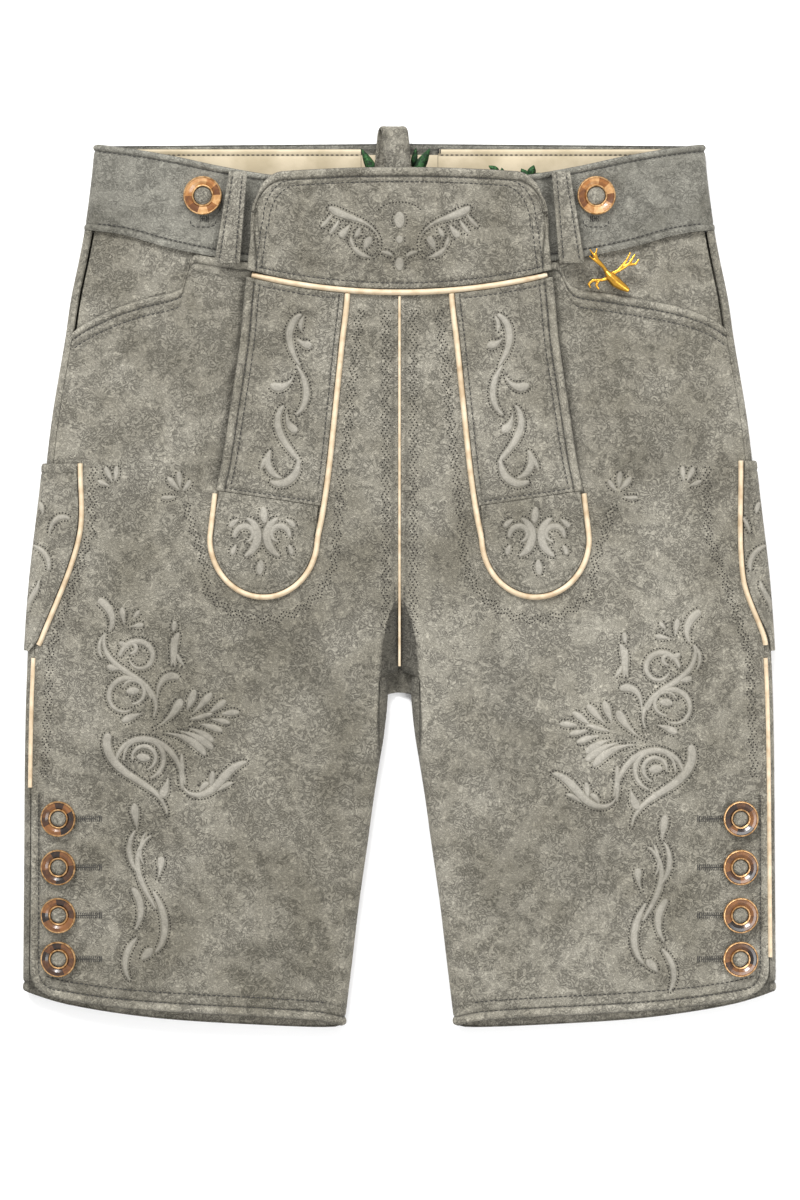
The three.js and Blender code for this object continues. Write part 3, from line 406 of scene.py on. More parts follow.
def flat_cut(points):
    """Width, length and area of a sheet's grid if it is laid out flat, in metres."""
    width = arc_lengths(points, 1)[:, -1].max() * MM
    length = arc_lengths(points, 0)[-1].max() * MM
    a, b = points[1:, 1:] - points[:-1, :-1], points[1:, :-1] - points[:-1, 1:]
    area = 0.5 * np.linalg.norm(np.cross(a, b), axis=-1).sum() * MM * MM
    return (width, length), area


def sheet(name, side, points, thickness, material, relief=None, lift=0.0):
    """A wall of leather on a grid of points of its outer face, columns outwards from the middle
    and rows downwards. Relief is a function of the points and their distances from the four edges.
    Its rise is also kept as a tint of the colour: raised leather is painted pale, partly as wear and
    partly as painted light, and grooves are painted dark as shade, unless it returns a tint of its own as
    well."""
    rows, columns = points.shape[:2]
    normals = np.cross(np.gradient(points, axis=0), np.gradient(points, axis=1)) * side
    normals /= np.maximum(np.linalg.norm(normals, axis=-1, keepdims=True), 1e-9)
    across, down = arc_lengths(points, 1), arc_lengths(points, 0)
    size, area = flat_cut(points)
    # Tint for the colour: wear and painted light on ridges, painted shade in grooves and shaded places.
    wear_and_shade = np.zeros((rows, columns))
    if relief is not None:
        rise = relief(points, across, across[:, -1:] - across, down, down[-1:] - down)
        rise, wear_and_shade = rise if isinstance(rise, tuple) else (rise, rise)
        points = points + normals * rise[..., None]
    points = points + normals * lift
    points[..., 2] = np.maximum(points[..., 2], 0)
    bpy.ops.object.select_all(action="DESELECT")
    bpy.ops.mesh.primitive_grid_add(x_subdivisions=columns - 1, y_subdivisions=rows - 1, size=1)
    piece = bpy.context.object
    piece.name = piece.data.name = name
    piece.data.vertices.foreach_set("co", (points * MM).ravel())
    if side == LEFT:
        piece.data.flip_normals()
    piece.data.attributes.new("wear_and_shade", "FLOAT", "POINT").data.foreach_set("value", wear_and_shade.ravel())
    wall = piece.modifiers.new("wall", "SOLIDIFY")
    wall.thickness = thickness * MM
    wall.offset = -1
    bpy.ops.object.modifier_apply(modifier="wall")
    bpy.ops.object.shade_smooth_by_angle(angle=math.radians(50))
    piece.data.materials.append(material)
    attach(piece, "root")
    return piece, size, min(area, size[0] * size[1])


def linear(hex_colour):
    """An sRGB hex colour as the linear colour that a shader takes."""
    values = [int(hex_colour[k:k + 2], 16) / 255 for k in (1, 3, 5)]
    return (*[v / 12.92 if v <= 0.04045 else ((v + 0.055) / 1.055) ** 2.4 for v in values], 1)


def add(tree, kind, values=(), links=(), **settings):
    """Adds one node to a tree, with its inputs' values, links to them, and its own settings."""
    node = tree.nodes.new("ShaderNode" + kind)
    for name, value in settings.items():
        setattr(node, name, value)
    for name, value in dict(values).items():
        node.inputs[name].default_value = value
    for name, socket in dict(links).items():
        tree.links.new(node.inputs[name], socket)
    return node


def ramp(tree, factor, *stops):
    """A colour ramp through places from 0 to 1 and their hex colours."""
    node = add(tree, "ValToRGB", links={"Fac": factor})
    points = node.color_ramp.elements
    while len(points) < len(stops):
        points.new(0.5)
    for point, (place, colour) in zip(points, stops):
        point.position = place
        point.color = linear(colour)
    return node.outputs["Color"]


def new_material(name):
    material = bpy.data.materials.new(name)
    material.use_nodes = True
    material.node_tree.nodes.clear()
    return material, material.node_tree


def finish_material(tree, shader):
    add(tree, "OutputMaterial", links={"Surface": shader.outputs["BSDF"]})


def sueded_leather(name, colours, wrinkle=1.0):
    """Split cowhide, sueded and washed: dull, mottled in patches of 110 mm and blotches of 30 mm,
    with a short nap and worm-like wrinkles 4 to 5 mm apart, some dark and some rubbed pale."""
    material, tree = new_material(name)
    place = add(tree, "TexCoord").outputs["Object"]

    def noise(scale, detail, roughness=0.5, distortion=0.0):
        values = {"Scale": scale, "Detail": detail, "Roughness": roughness, "Distortion": distortion}
        return add(tree, "TexNoise", values, {"Vector": place}).outputs["Fac"]

    def ranged(value, low, high, to_low, to_high):
        values = {"From Min": low, "From Max": high, "To Min": to_low, "To Max": to_high}
        return add(tree, "MapRange", values, {"Value": value}).outputs["Result"]

    def joined(operation, first, second):
        return add(tree, "Math", {}, {0: first, 1: second}, operation=operation).outputs[0]

    def worm(scale, width, distortion):
        off = add(tree, "Math", {1: 0.5}, {0: noise(scale, 1.5, 0.5, distortion)}, operation="SUBTRACT")
        away = add(tree, "Math", {}, {0: off.outputs[0]}, operation="ABSOLUTE")
        return ranged(away.outputs[0], 0.0, width, 1.0, 0.0)

    large = add(tree, "Math", {1: 0.5}, {0: noise(9.0, 3.0, 0.55)}, operation="MULTIPLY")
    tone = add(
        tree, "Math", {1: 0.5}, {0: noise(34.0, 5.0, 0.6), 2: large.outputs[0]}, operation="MULTIPLY_ADD"
    )
    dark, middle, light = colours
    colour = ramp(tree, tone.outputs[0], (0.38, dark), (0.5, middle), (0.62, light))
    broken = noise(70.0, 2.0, 0.6)
    sunk = joined("MULTIPLY", worm(200.0, 0.12, 1.9), ranged(broken, 0.42, 0.52, 0.2, 1.0))
    pale = joined("MULTIPLY", worm(240.0, 0.11, 2.4), ranged(broken, 0.46, 0.58, 1.0, 0.5))
    contrast = 0.62 * wrinkle
    darker = ranged(sunk, 0.0, 1.0, 1.16, 1.16 - contrast)
    shade = joined("MULTIPLY", darker, ranged(pale, 0.0, 1.0, 0.9, 0.9 + contrast))
    nap = noise(900.0, 2.0, 0.7)
    # Painted shade and light from each piece: darker in grooves, folds and shaded places, paler on ridges,
    # partly as wear.
    wear_and_shade = add(tree, "Attribute", attribute_name="wear_and_shade").outputs["Fac"]
    worn_and_shaded = joined("MULTIPLY", ranged(wear_and_shade, -0.9, 0.0, 0.34, 1.0), ranged(wear_and_shade, 0.1, 1.0, 1.0, 1.16))
    shade = joined("MULTIPLY", joined("MULTIPLY", shade, worn_and_shaded), ranged(nap, 0.2, 0.8, 0.86, 1.14))
    shaded = add(tree, "VectorMath", {}, {0: colour, 1: shade}, operation="MULTIPLY")
    relief = joined("SUBTRACT", pale, sunk)
    deep = add(tree, "Bump", {"Strength": 0.8 * wrinkle, "Distance": 0.0007}, {"Height": relief})
    fine = add(
        tree, "Bump", {"Strength": 0.6, "Distance": 0.0002},
        {"Height": nap, "Normal": deep.outputs["Normal"]},
    )
    shader = add(
        tree, "BsdfPrincipled",
        {"Roughness": 0.92, "IOR": 1.45, "Specular IOR Level": 0.2, "Sheen Weight": 0.16,
         "Sheen Roughness": 0.5, "Sheen Tint": linear("#c9c5ba")},
        {"Base Color": shaded.outputs[0], "Normal": fine.outputs["Normal"]},
    )
    finish_material(tree, shader)
    return material


suede = sueded_leather("sueded_split_leather", ("#69655a", "#7a766b", "#89857a"))
FRONT_ROWS, FRONT_COLUMNS = 250, 112
BACK_ROWS, BACK_COLUMNS = 150, 90
HEM_TURN, HEM_SECOND = 6.3, 13.4
VENT_TOP, VENT_BLEND, VENT_CORNER = 145, 6, 16
MOUTH_TURN, MOUTH_SECOND = 6.2, 12.4
SECOND_ROW = (-0.4, 1.1)
# Edge of the front's lap beside the gusset: how far below the origin, and how far from the middle.
VALLEY_LAP = ((12, 30, 46, 67, 100, 130), (1.5, 8.5, 12.5, 14.0, 15.6, 15.0))
LAP_RISE, LAP_SINK = 0.9, 0.5
CENTRE_SEAM, CENTRE_SEAM_SHADE = 4.4, 0.4


def rounded_corner(a, b, radius):
    """Distance from two edges that meet in a rounded corner."""
    reach = radius - np.hypot(np.maximum(radius - a, 0), np.maximum(radius - b, 0))
    return np.where((a < radius) & (b < radius), reach, np.minimum(a, b))


def beside_flap(off, y):
    """From 0 to 1, how near the leather is to the flap's open edge, where shade is painted."""
    return ridge(off, flap_outer_at(y) + 0.5, 1, 3.2)


def front_relief(points, inner, outer, top, bottom):
    """Turned hem, vent and pocket mouth, small creases, and the lap beside the gusset. Shade is
    painted into the leather's colour in the troughs of the large folds, under that lap, beside
    the centre seam and beside the flap."""
    x, y = points[..., 0], points[..., 1]
    off = np.abs(x)
    vent_edge = outer + 40 * (1 - smooth(-y, VENT_TOP, VENT_TOP + VENT_BLEND))
    hem = turned_edge(rounded_corner(bottom, vent_edge, VENT_CORNER), HEM_TURN)
    hem += ridge(bottom, HEM_SECOND, *SECOND_ROW) * smooth(outer, 8, 14)
    mouth = turned_edge(top, MOUTH_TURN) + ridge(top, MOUTH_SECOND, *SECOND_ROW)
    seams = hem + np.where(y > 100, mouth, 0)
    lap = np.interp(-y, *VALLEY_LAP)
    folded = smooth(-y, 14, 26) * (1 - smooth(-y, 96, 140))
    under = folded * smooth(off, lap + 1.0, lap - 1.0)
    lapped = folded * ridge(off, lap + 2.2, LAP_RISE, 2.0) - LAP_SINK * under
    # Painted shade: troughs of the large folds, under the lap, beside the centre seam and the flap.
    shade = 0.1 * fold_rise(x, y, FOLDS) - under * (0.4 + 0.4 * smooth(off, lap - 8, lap))
    shade -= ridge(off, CENTRE_SEAM, CENTRE_SEAM_SHADE, 1.2) * smooth(-y, 50, 30)
    shade -= 0.6 * smooth(y, 58, 80) * beside_flap(off, y)
    return seams + lapped + fold_rise(x, y, CREASES), seams + lapped + shade


def back_relief(points, inner, outer, top, bottom):
    """Turned hem and creases. Where the back shows past the front, it is in shade and darker."""
    x, y, z = np.moveaxis(points, -1, 0)
    hem = turned_edge(bottom, HEM_TURN, 0.7) - 0.5 * smooth(bottom, 12, 0) * smooth(z, 2, 6)
    shade = 0.35 * smooth(inner, 14, 0) * smooth(-y, 120, 160)
    shade += 0.6 * smooth(outer, 26, 16) * smooth(-y, 60, 90)
    return hem - fold_rise(x, y, BACK_CREASES) * smooth(z, 3, 0.5), hem - shade


def panel(side, first, last, rows, columns, top_of):
    """Grid of a leg panel between two stretch values, from its top line to its hem."""
    shares = close_at_ends(rows, 0.035, 2.6)[:, None]
    s = np.linspace(first, last, columns)[None, :]
    if first < 1:
        s = np.interp(np.linspace(0, 1, columns), [0, 0.13, 0.93, 1], [first, 1, 2, last])[None, :]
    top, hem = top_of(side, s), hem_at(side, s)
    return outer_point(side, s + 0 * shares, mix(top, hem, shares))


fronts = {}
for name, side in SIDES.items():
    seam = turn_to_stretch(SIDE_SEAM_TURN + SEAM_TURN_GAP)
    grid = panel(side, 0, seam, FRONT_ROWS, FRONT_COLUMNS, front_top_at)
    piece, size, area = sheet(f"leg_front_{name}", side, grid, CLOTH, suede, front_relief)
    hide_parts(f"front_{name}")
    fronts[side] = (piece, size, area)

    seam = turn_to_stretch(SIDE_SEAM_TURN - SEAM_TURN_GAP)
    grid = panel(side, seam, 5, BACK_ROWS, BACK_COLUMNS, lambda at, s: band_edges(at, s)[0] - SEAM_GAP)
    piece, size, area = sheet(f"leg_back_{name}", side, grid, CLOTH, suede, back_relief)
    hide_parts(f"back_{name}")
    piece, size, area = fronts[side]

# Waistband: doubled leather over a stiffener, 2.4 mm thick and 60 mm high, in two halves that meet
# at the centre. A welt is pressed along its sewn lower edge.
BAND = 2.4
BAND_ROWS, BAND_COLUMNS = 44, 230
BAND_TURN = 4.6
# Belt loops over the band: distance from the middle, height and width, at the top and the bottom.
LOOP_TOP, LOOP_BOTTOM = (111.4, 280, 12.6), (119, 217, 17.6)
LOOP_SHADE, BAND_FRONT_Z = 8.5, 12
# The same leather, doubled over a stiffener: darker, and its wrinkles a little weaker.
band_suede = sueded_leather("stiffened_sueded_leather", ("#5c5a52", "#6e6c64", "#7e7c73"), wrinkle=0.8)


def loop_middle_at(y):
    """Distance of a belt loop's middle line from the garment's middle."""
    return mix(LOOP_TOP[0], LOOP_BOTTOM[0], (LOOP_TOP[1] - y) / (LOOP_TOP[1] - LOOP_BOTTOM[1]))


def band_relief(points, inner, outer, top, bottom):
    """Turned top edge and pressed welt. The front is painted darker beside the flap and the belt
    loops, as their shade.
    """
    x, y, z = np.moveaxis(points, -1, 0)
    off = np.abs(x)
    # Painted shade beside the flap's edge and both sides of each belt loop.
    beside = beside_flap(off, y)
    for edge in (-LOOP_SHADE, LOOP_SHADE):
        beside += ridge(off, loop_middle_at(y) + edge, 1, 2.2)
    welt = ridge(bottom, 2.4, 0.6, 1.7) - ridge(bottom, BAND_TURN, 0.5, STITCH_BED)
    relief = turned_edge(top, BAND_TURN, 0.8) + welt
    return relief, relief - 0.5 * np.minimum(beside, 1) * (z > BAND_FRONT_Z)


for name, side in SIDES.items():
    s = np.interp(np.linspace(0, 1, BAND_COLUMNS), [0, 0.02, 0.5, 0.56, 1], [0, 1, 2, 3, 5])[None, :]
    low, high = band_edges(side, s)
    walk = close_at_ends(BAND_ROWS, 0.12)[:, None]
    grid = outer_point(side, s + 0 * walk, mix(high, low, walk))
    piece, size, area = sheet(f"waist_band_{name}", side, grid, BAND, band_suede, band_relief)
    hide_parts(f"waistband_{name}")

# Crotch gusset: a small saddle of the same leather between the legs' inner folds, from under the
# ends of the centre seams down to the fork. It lies in the shade of the folds, painted dark all over.
GUSSET_TOP, GUSSET_NOSE, GUSSET_SIDE = -56.0, -80.5, -86.0
GUSSET_CLOTH, GUSSET_FLOOR, GUSSET_TURN = 1.4, 3.6, 72.0
GUSSET_PUCKER, GUSSET_PUCKERS = 0.5, 14
across = np.linspace(-1, 1, 61)[None, :]
y = mix(GUSSET_TOP, mix(GUSSET_NOSE, GUSSET_SIDE, across ** 2), np.linspace(0, 1, 30)[:, None])
fold, inner = fold_at(y) - SEAM_GAP, inner_at(y) + SEAM_GAP
turn = np.radians(GUSSET_TURN) * np.clip(2 * np.abs(across) - 1, 0, 1)
reach = np.clip(2 * np.abs(across), 0, 1)
x = np.where(reach < 1, inner * reach, inner + fold * (1 - np.cos(turn)))
z = np.where(reach < 1, mix(GUSSET_FLOOR, fold, reach ** 3), fold * (1 + np.sin(turn)))
z = z + ridge(across, 0, GUSSET_PUCKER, 0.5) * np.sin(GUSSET_PUCKERS * across)
grid = np.stack([np.sign(across) * x, y, z], axis=-1)


def gusset_relief(points, left, right, top, bottom):
    """Turned lower edge, and painted shade all over."""
    return turned_edge(bottom, 3.0, 0.3, 0.4), -0.62 + 0 * bottom


piece, size, area = sheet("crotch_saddle", LEFT, grid, GUSSET_CLOTH, suede, gusset_relief)
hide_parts("gusset")

# Facing of smooth cream lining leather inside the back of the waistband, 1.2 mm thick. It stops at
# the notch in the centre back, where a narrow piece behind it shows.
FACING, FACING_RIM = 1.2, 4.0
FACING_SIDE, FACING_IN, FACING_TOP, FACING_BOTTOM = 203.0, 27.0, 299.2, 246.0
FACING_Z = BAND + SEAM_GAP + FACING


def lining_leather(name, base, deep):
    """Smooth cream lining leather, drum dyed: a matt film over fine pores, faintly uneven in tone."""
    material, tree = new_material(name)
    place = add(tree, "TexCoord").outputs["Object"]
    tone = add(tree, "TexNoise", {"Scale": 45.0, "Detail": 4.0}, {"Vector": place})
    pores = add(tree, "TexVoronoi", {"Scale": 1400.0}, {"Vector": place})
    colour = ramp(tree, tone.outputs["Fac"], (0.35, deep), (0.62, base))
    # Painted shade from the relief: darker in the groove of the turned edge.
    wear_and_shade = add(tree, "Attribute", attribute_name="wear_and_shade").outputs["Fac"]
    worn_and_shaded = add(tree, "MapRange", {"From Min": -0.4, "From Max": 0.0, "To Min": 0.45}, {"Value": wear_and_shade})
    colour = add(
        tree, "VectorMath", {}, {0: colour, 1: worn_and_shaded.outputs["Result"]}, operation="MULTIPLY"
    ).outputs[0]
    grain = add(tree, "Bump", {"Strength": 0.25, "Distance": 0.0002}, {"Height": pores.outputs["Distance"]})
    shader = add(
        tree, "BsdfPrincipled", {"Roughness": 0.6, "IOR": 1.5, "Specular IOR Level": 0.35},
        {"Base Color": colour, "Normal": grain.outputs["Normal"]},
    )
    finish_material(tree, shader)
    return material


cream = lining_leather("cream_lining_leather", "#c8ba9f", "#b0a286")


def level_grid(x, y, z):
    """Grid of points at one height, columns along x and rows along y."""
    across, down = np.meshgrid(x, y)
    return np.stack([across, down, np.full(across.shape, z)], axis=-1)


def facing_relief(points, inner, outer, top, bottom):
    return turned_edge(top, FACING_RIM, 0.35, 0.3)


for name, side in SIDES.items():
    x = side * np.linspace(FACING_IN, FACING_SIDE, 90)
    grid = level_grid(x, mix(FACING_TOP, FACING_BOTTOM, close_at_ends(40, 0.1)), FACING_Z)
    piece, size, area = sheet(f"waist_facing_{name}", side, grid, FACING, cream, facing_relief)
    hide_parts(f"facing_{name}")

x = np.linspace(-FACING_IN + SEAM_GAP, FACING_IN - SEAM_GAP, 24)
grid = level_grid(x, np.linspace(FACING_TOP - 4, FACING_BOTTOM, 20), FACING_Z)
piece, size, area = sheet("waist_facing_centre", LEFT, grid, FACING, cream)
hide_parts("facing_centre")

# Pocket facings: the sueded leather that shows above the mouth of each hip pocket. Each lies just
# behind the front and is sewn into the waistband's lower edge.
POCKET_FACING, BEHIND_FRONT, POCKET_LAP = 1.4, 3.0, 16.0

for name, side in SIDES.items():
    corner = POCKET_MOUTH[side]["x"][1]
    mouth_at = through(POCKET_MOUTH[side], "x", "y")
    walk = stretch_at(side, np.linspace(corner - 12, 208, 60), np.full(60, 210.0))
    s = np.concatenate([walk, np.linspace(2, turn_to_stretch(78), 6)])[None, :]
    x = np.abs(outer_point(side, s, 215)[..., 0])
    top = band_bottom_at(np.abs(outer_point(side, s, 235)[..., 0])) - SEAM_GAP - 0.2
    low = mouth_at(np.maximum(x, corner + 12)) - POCKET_LAP
    rows = np.linspace(0, 1, 30)[:, None]
    grid = outer_point(side, s + 0 * rows, mix(top, low, rows))
    piece, size, area = sheet(f"pocket_back_{name}", side, grid, POCKET_FACING, suede, lift=-BEHIND_FRONT)
    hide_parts(f"pocket_facing_{name}")

# Flap: a stiffened top panel, a strip down each side and a round tongue under each strip, all
# sueded leather. Its open outer edges stand a little off the fronts and are turned and sewn twice.
SEAT, FLAP = 0.6, 2.2
EDGE_LIFT, EDGE_LIFT_WIDTH = 2.2, 22.0
FLAP_TURN, FLAP_RIDGE, FLAP_SECOND = 6.4, 8.3, 10.2
FLAP_PIPING, STRIP_PIPING = (4.2, 3.2), (4.0, 2.6)
TOP_MIDDLE, TOP_DIP, TOP_CORNER, TOP_SQUARE, TOP_OUTER = 283.4, 2.6, 79.0, 253.0, 100.5
SEAM_MIDDLE, SEAM_RISE, SEAM_OUTER = 197.0, 11.6, 100.0
TONGUE_X, TONGUE_Y, TONGUE_HALF, TONGUE_DEPTH = 94.2, 27.0, 39.2, 42.8
TONGUE_SEAM_IN, TONGUE_SEAM_OUT, TONGUE_SEAM_FROM, TONGUE_SEAM_TO = 49.0, 60.0, 53, 127


def over_front(x, y, lift):
    """Points that stand off the front by a height, at signed places across it."""
    x, y = np.broadcast_arrays(np.asarray(x, float), np.asarray(y, float))
    return np.stack([x, y, front_height(x, y) + lift], axis=-1)


def flap_seam_at(x):
    return SEAM_MIDDLE + SEAM_RISE * (np.abs(x) / SEAM_OUTER) ** 2


def flap_lift(x, y):
    edge = flap_outer_at(y)
    return SEAT + EDGE_LIFT * smooth(y, 30, 90) * smooth(np.abs(x), edge - EDGE_LIFT_WIDTH, edge)


def flap_top_at(x):
    past = np.maximum(np.abs(x) - TOP_CORNER, 0) / (TOP_OUTER - TOP_CORNER)
    level = TOP_MIDDLE - TOP_DIP * np.minimum(np.abs(x) / TOP_CORNER, 1) ** 2
    return mix(TOP_SQUARE, level, np.sqrt(np.maximum(1 - past ** 2, 0)))


def tongue_seam_at(x):
    share = (x - TONGUE_SEAM_FROM) / (TONGUE_SEAM_TO - TONGUE_SEAM_FROM)
    return mix(TONGUE_SEAM_IN, TONGUE_SEAM_OUT, share)


def tongue_bottom_at(share, inset):
    reach = np.sqrt(np.maximum(1 - (2 * share - 1) ** 2, 0))
    return TONGUE_Y - (TONGUE_DEPTH - inset) * reach


def tongue_edges_at(y, inset):
    up = np.clip((y - TONGUE_Y) / (TONGUE_SEAM_OUT - TONGUE_Y), 0, 1)
    inner = mix(TONGUE_X - TONGUE_HALF, strip_line_at(TONGUE_SEAM_IN) - STRIP_PIPING[0] / 2, up)
    outer = mix(TONGUE_X + TONGUE_HALF, flap_outer_at(TONGUE_SEAM_OUT) + 2, up)
    return inner + inset, outer - inset


def flap_edge(edge):
    """The flap's open edge: a roll, two rows of stitches and a low ridge between them."""
    between = ridge(edge, FLAP_RIDGE, 0.35, 1.1) - ridge(edge, FLAP_SECOND, 0.4, 0.8)
    return turned_edge(edge, FLAP_TURN, 1.3, 0.9) + between


def flap_relief(points, left, right, top, bottom):
    return flap_edge(np.minimum(np.minimum(left, right), top)) + turned_edge(bottom, 4.0, 0.3, 0.4)


def strip_relief(points, inner, outer, top, bottom):
    seams = np.minimum(np.minimum(inner, top), bottom)
    return flap_edge(outer) + turned_edge(seams, 3.2, 0.25, 0.4)


def tongue_relief(points, inner, outer, top, bottom):
    return turned_edge(np.minimum(np.minimum(inner, outer), bottom), 3.2, 0.25, 0.4)


shares = np.sin(np.linspace(-np.pi / 2, np.pi / 2, 180) * 0.98)
shares = (shares / shares.max())[None, :]
walk = close_at_ends(80, 0.08)[:, None]
bottom = flap_seam_at(shares * flap_outer_at(205)) + FLAP_PIPING[0] / 2 + SEAM_GAP
y = mix(flap_top_at(shares * TOP_OUTER), bottom, walk)
x = shares * flap_outer_at(y)
piece, size, area = sheet(
    "flap_panel", LEFT, over_front(x, y, flap_lift(x, y) + FLAP), FLAP, suede, flap_relief
)
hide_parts("flap_top")

for name, side in SIDES.items():
    inset = STRIP_PIPING[0] / 2 + SEAM_GAP
    share, walk = close_at_ends(60, 0.08)[None, :], close_at_ends(110, 0.05)[:, None]
    x, y = 80.0 + 0 * share * walk, 120.0 + 0 * share * walk
    for _ in range(6):
        y = mix(flap_seam_at(x) - FLAP_PIPING[0] / 2 - SEAM_GAP, tongue_seam_at(x) + SEAM_GAP / 2, walk)
        x = mix(strip_line_at(y) + inset, flap_outer_at(y), share)
    grid = over_front(side * x, y, flap_lift(x, y) + CLOTH)
    piece, size, area = sheet(f"flap_strip_{name}", side, grid, CLOTH, suede, strip_relief)
    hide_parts(f"strip_{name}")

    inset = STRIP_PIPING[0] + SEAM_GAP
    share = (0.5 - 0.5 * np.cos(np.linspace(0, np.pi, 60)))[None, :]
    walk = close_at_ends(56, 0.08)[:, None]
    x, y = 90.0 + 0 * share * walk, 30.0 + 0 * share * walk
    for _ in range(6):
        y = mix(tongue_seam_at(x) - SEAM_GAP / 2, tongue_bottom_at(share, inset), walk)
        inner, outer = tongue_edges_at(y, inset)
        x = mix(inner, outer, share)
    grid = over_front(side * x, y, flap_lift(x, y) + CLOTH)
    piece, size, area = sheet(f"flap_tongue_{name}", side, grid, CLOTH, suede, tongue_relief)
    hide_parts(f"tongue_{name}")

# Piping: cream leather folded round a thin cord and sewn into the seams of the flap, the centre
# front, the side patches and the side seams.
BEAD_SIDES = 14


def piping_leather(name):
    """Split strip of cream leather, glazed as it is folded: smooth, with a soft shine and fine creases
    about 2 mm apart."""
    material, tree = new_material(name)
    place = add(tree, "TexCoord").outputs["Object"]
    tone = add(tree, "TexNoise", {"Scale": 120.0, "Detail": 4.0}, {"Vector": place})
    crease = add(tree, "TexNoise", {"Scale": 520.0, "Detail": 2.0}, {"Vector": place})
    colour = ramp(tree, tone.outputs["Fac"], (0.3, "#b79f7f"), (0.55, "#d2bea0"), (0.75, "#dccdb4"))
    fold = add(tree, "Bump", {"Strength": 0.3, "Distance": 0.0003}, {"Height": crease.outputs["Fac"]})
    shader = add(
        tree, "BsdfPrincipled", {"Roughness": 0.42, "IOR": 1.5, "Specular IOR Level": 0.45},
        {"Base Color": colour, "Normal": fold.outputs["Normal"]},
    )
    finish_material(tree, shader)
    return material


glazed_piping = piping_leather("glazed_piping_leather")


def standing_normals(x, y):
    """Directions straight out of the front at some places."""
    dx = front_height(x + 1, y) - front_height(x - 1, y)
    dy = front_height(x, y + 1) - front_height(x, y - 1)
    normals = np.stack([-dx / 2, -dy / 2, np.ones_like(dx)], axis=-1)
    return normals / np.linalg.norm(normals, axis=-1, keepdims=True)


def skin(side, s, y, lift):
    """Points that stand off the outer face by a height, and the face's directions there."""
    across = outer_point(side, s + 0.004, y) - outer_point(side, s - 0.004, y)
    up = outer_point(side, s, y + 1) - outer_point(side, s, y - 1)
    normals = np.cross(across, up) * side
    normals /= np.linalg.norm(normals, axis=-1, keepdims=True)
    return outer_point(side, s, y) + normals * lift, normals


def seal(piece, gap):
    """Merges corners nearer than a gap, closes a mesh's open ends and turns its faces outwards."""
    bpy.ops.object.select_all(action="DESELECT")
    piece.select_set(True)
    bpy.context.view_layer.objects.active = piece
    bpy.ops.object.mode_set(mode="EDIT")
    bpy.ops.mesh.select_all(action="SELECT")
    bpy.ops.mesh.remove_doubles(threshold=gap * MM)
    bpy.ops.mesh.select_all(action="DESELECT")
    bpy.ops.mesh.select_non_manifold()
    bpy.ops.mesh.fill_holes(sides=0)
    bpy.ops.mesh.select_all(action="SELECT")
    bpy.ops.mesh.normals_make_consistent(inside=False)
    bpy.ops.object.mode_set(mode="OBJECT")


def piping(name, node, line, normals, width, height):
    """A round bead along a line on the leather, flat underneath."""
    turns = np.linspace(0, 2 * np.pi, BEAD_SIDES + 1)[None, :, None]
    across = np.cross(np.gradient(line, axis=0), normals)
    across /= np.linalg.norm(across, axis=-1, keepdims=True)
    rise = np.maximum(np.sin(turns), -0.06) * height
    rings = line[:, None] + across[:, None] * np.cos(turns) * width / 2 + normals[:, None] * rise
    bpy.ops.object.select_all(action="DESELECT")
    bpy.ops.mesh.primitive_grid_add(x_subdivisions=BEAD_SIDES, y_subdivisions=len(line) - 1, size=1)
    piece = bpy.context.object
    piece.name = piece.data.name = name
    piece.data.vertices.foreach_set("co", (rings * MM).ravel())
    seal(piece, 0.01)
    bpy.ops.object.shade_smooth_by_angle(angle=math.radians(60))
    piece.data.materials.append(glazed_piping)
    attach(piece, "root")
    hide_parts(node)


def softened(points, times):
    """A line with its corners eased, its ends kept."""
    for _ in range(times):
        eased = (points[:-2] + 2 * points[1:-1] + points[2:]) / 4
        points = np.concatenate([points[:1], eased, points[-1:]])
    return points


x = np.linspace(-102, 102, 120)
y = flap_seam_at(x)
line, normals = over_front(x, y, SEAT), standing_normals(x, y)
piping("flap_piping", "piping_flap", line, normals, *FLAP_PIPING)
for name, side in SIDES.items():
    inset = STRIP_PIPING[0] / 2
    start = flap_seam_at(36) - FLAP_PIPING[0] / 2 - SEAM_GAP
    down = np.linspace(start, TONGUE_SEAM_IN + 4, 60)
    share = 0.5 + 0.5 * np.cos(np.radians(np.linspace(180, 360, 90)))
    low = tongue_bottom_at(share, inset)
    inner, outer = tongue_edges_at(low, inset)
    up = np.linspace(TONGUE_Y, tongue_seam_at(TONGUE_SEAM_TO) - 2, 14)[1:]
    bend = [[mix(strip_line_at(TONGUE_SEAM_IN), tongue_edges_at(38, inset)[0], 0.5), 40]]
    line = np.concatenate([
        np.stack([strip_line_at(down), down], axis=1),
        bend,
        np.stack([mix(inner, outer, share), low], axis=1),
        np.stack([tongue_edges_at(up, inset)[1], up], axis=1),
    ])
    lengths = np.concatenate([[0], np.cumsum(np.linalg.norm(np.diff(line, axis=0), axis=1))])
    at = np.linspace(0, lengths[-1], 240)
    line = softened(np.stack([np.interp(at, lengths, line[:, k]) for k in range(2)], axis=1), 8)
    x, y = side * line[:, 0], line[:, 1]
    line, normals = over_front(x, y, SEAT), standing_normals(x, y)
    piping(f"strip_piping_{name}", f"piping_strip_{name}", line, normals, *STRIP_PIPING)

CENTRE_PIPING = (1.9, 1.1)
y = np.linspace(flap_seam_at(0) - FLAP_PIPING[0] / 2 - 0.5, CROTCH + 3, 120)
beside = np.maximum(outer_point(LEFT, 0.25, y)[:, 2], outer_point(RIGHT, 0.25, y)[:, 2])
line = softened(np.stack([0 * y, y, beside + 0.5], axis=1), 3)
upright = np.tile([0.0, 0.0, 1.0], (len(y), 1))
piping("centre_piping", "piping_centre", line, upright, *CENTRE_PIPING)

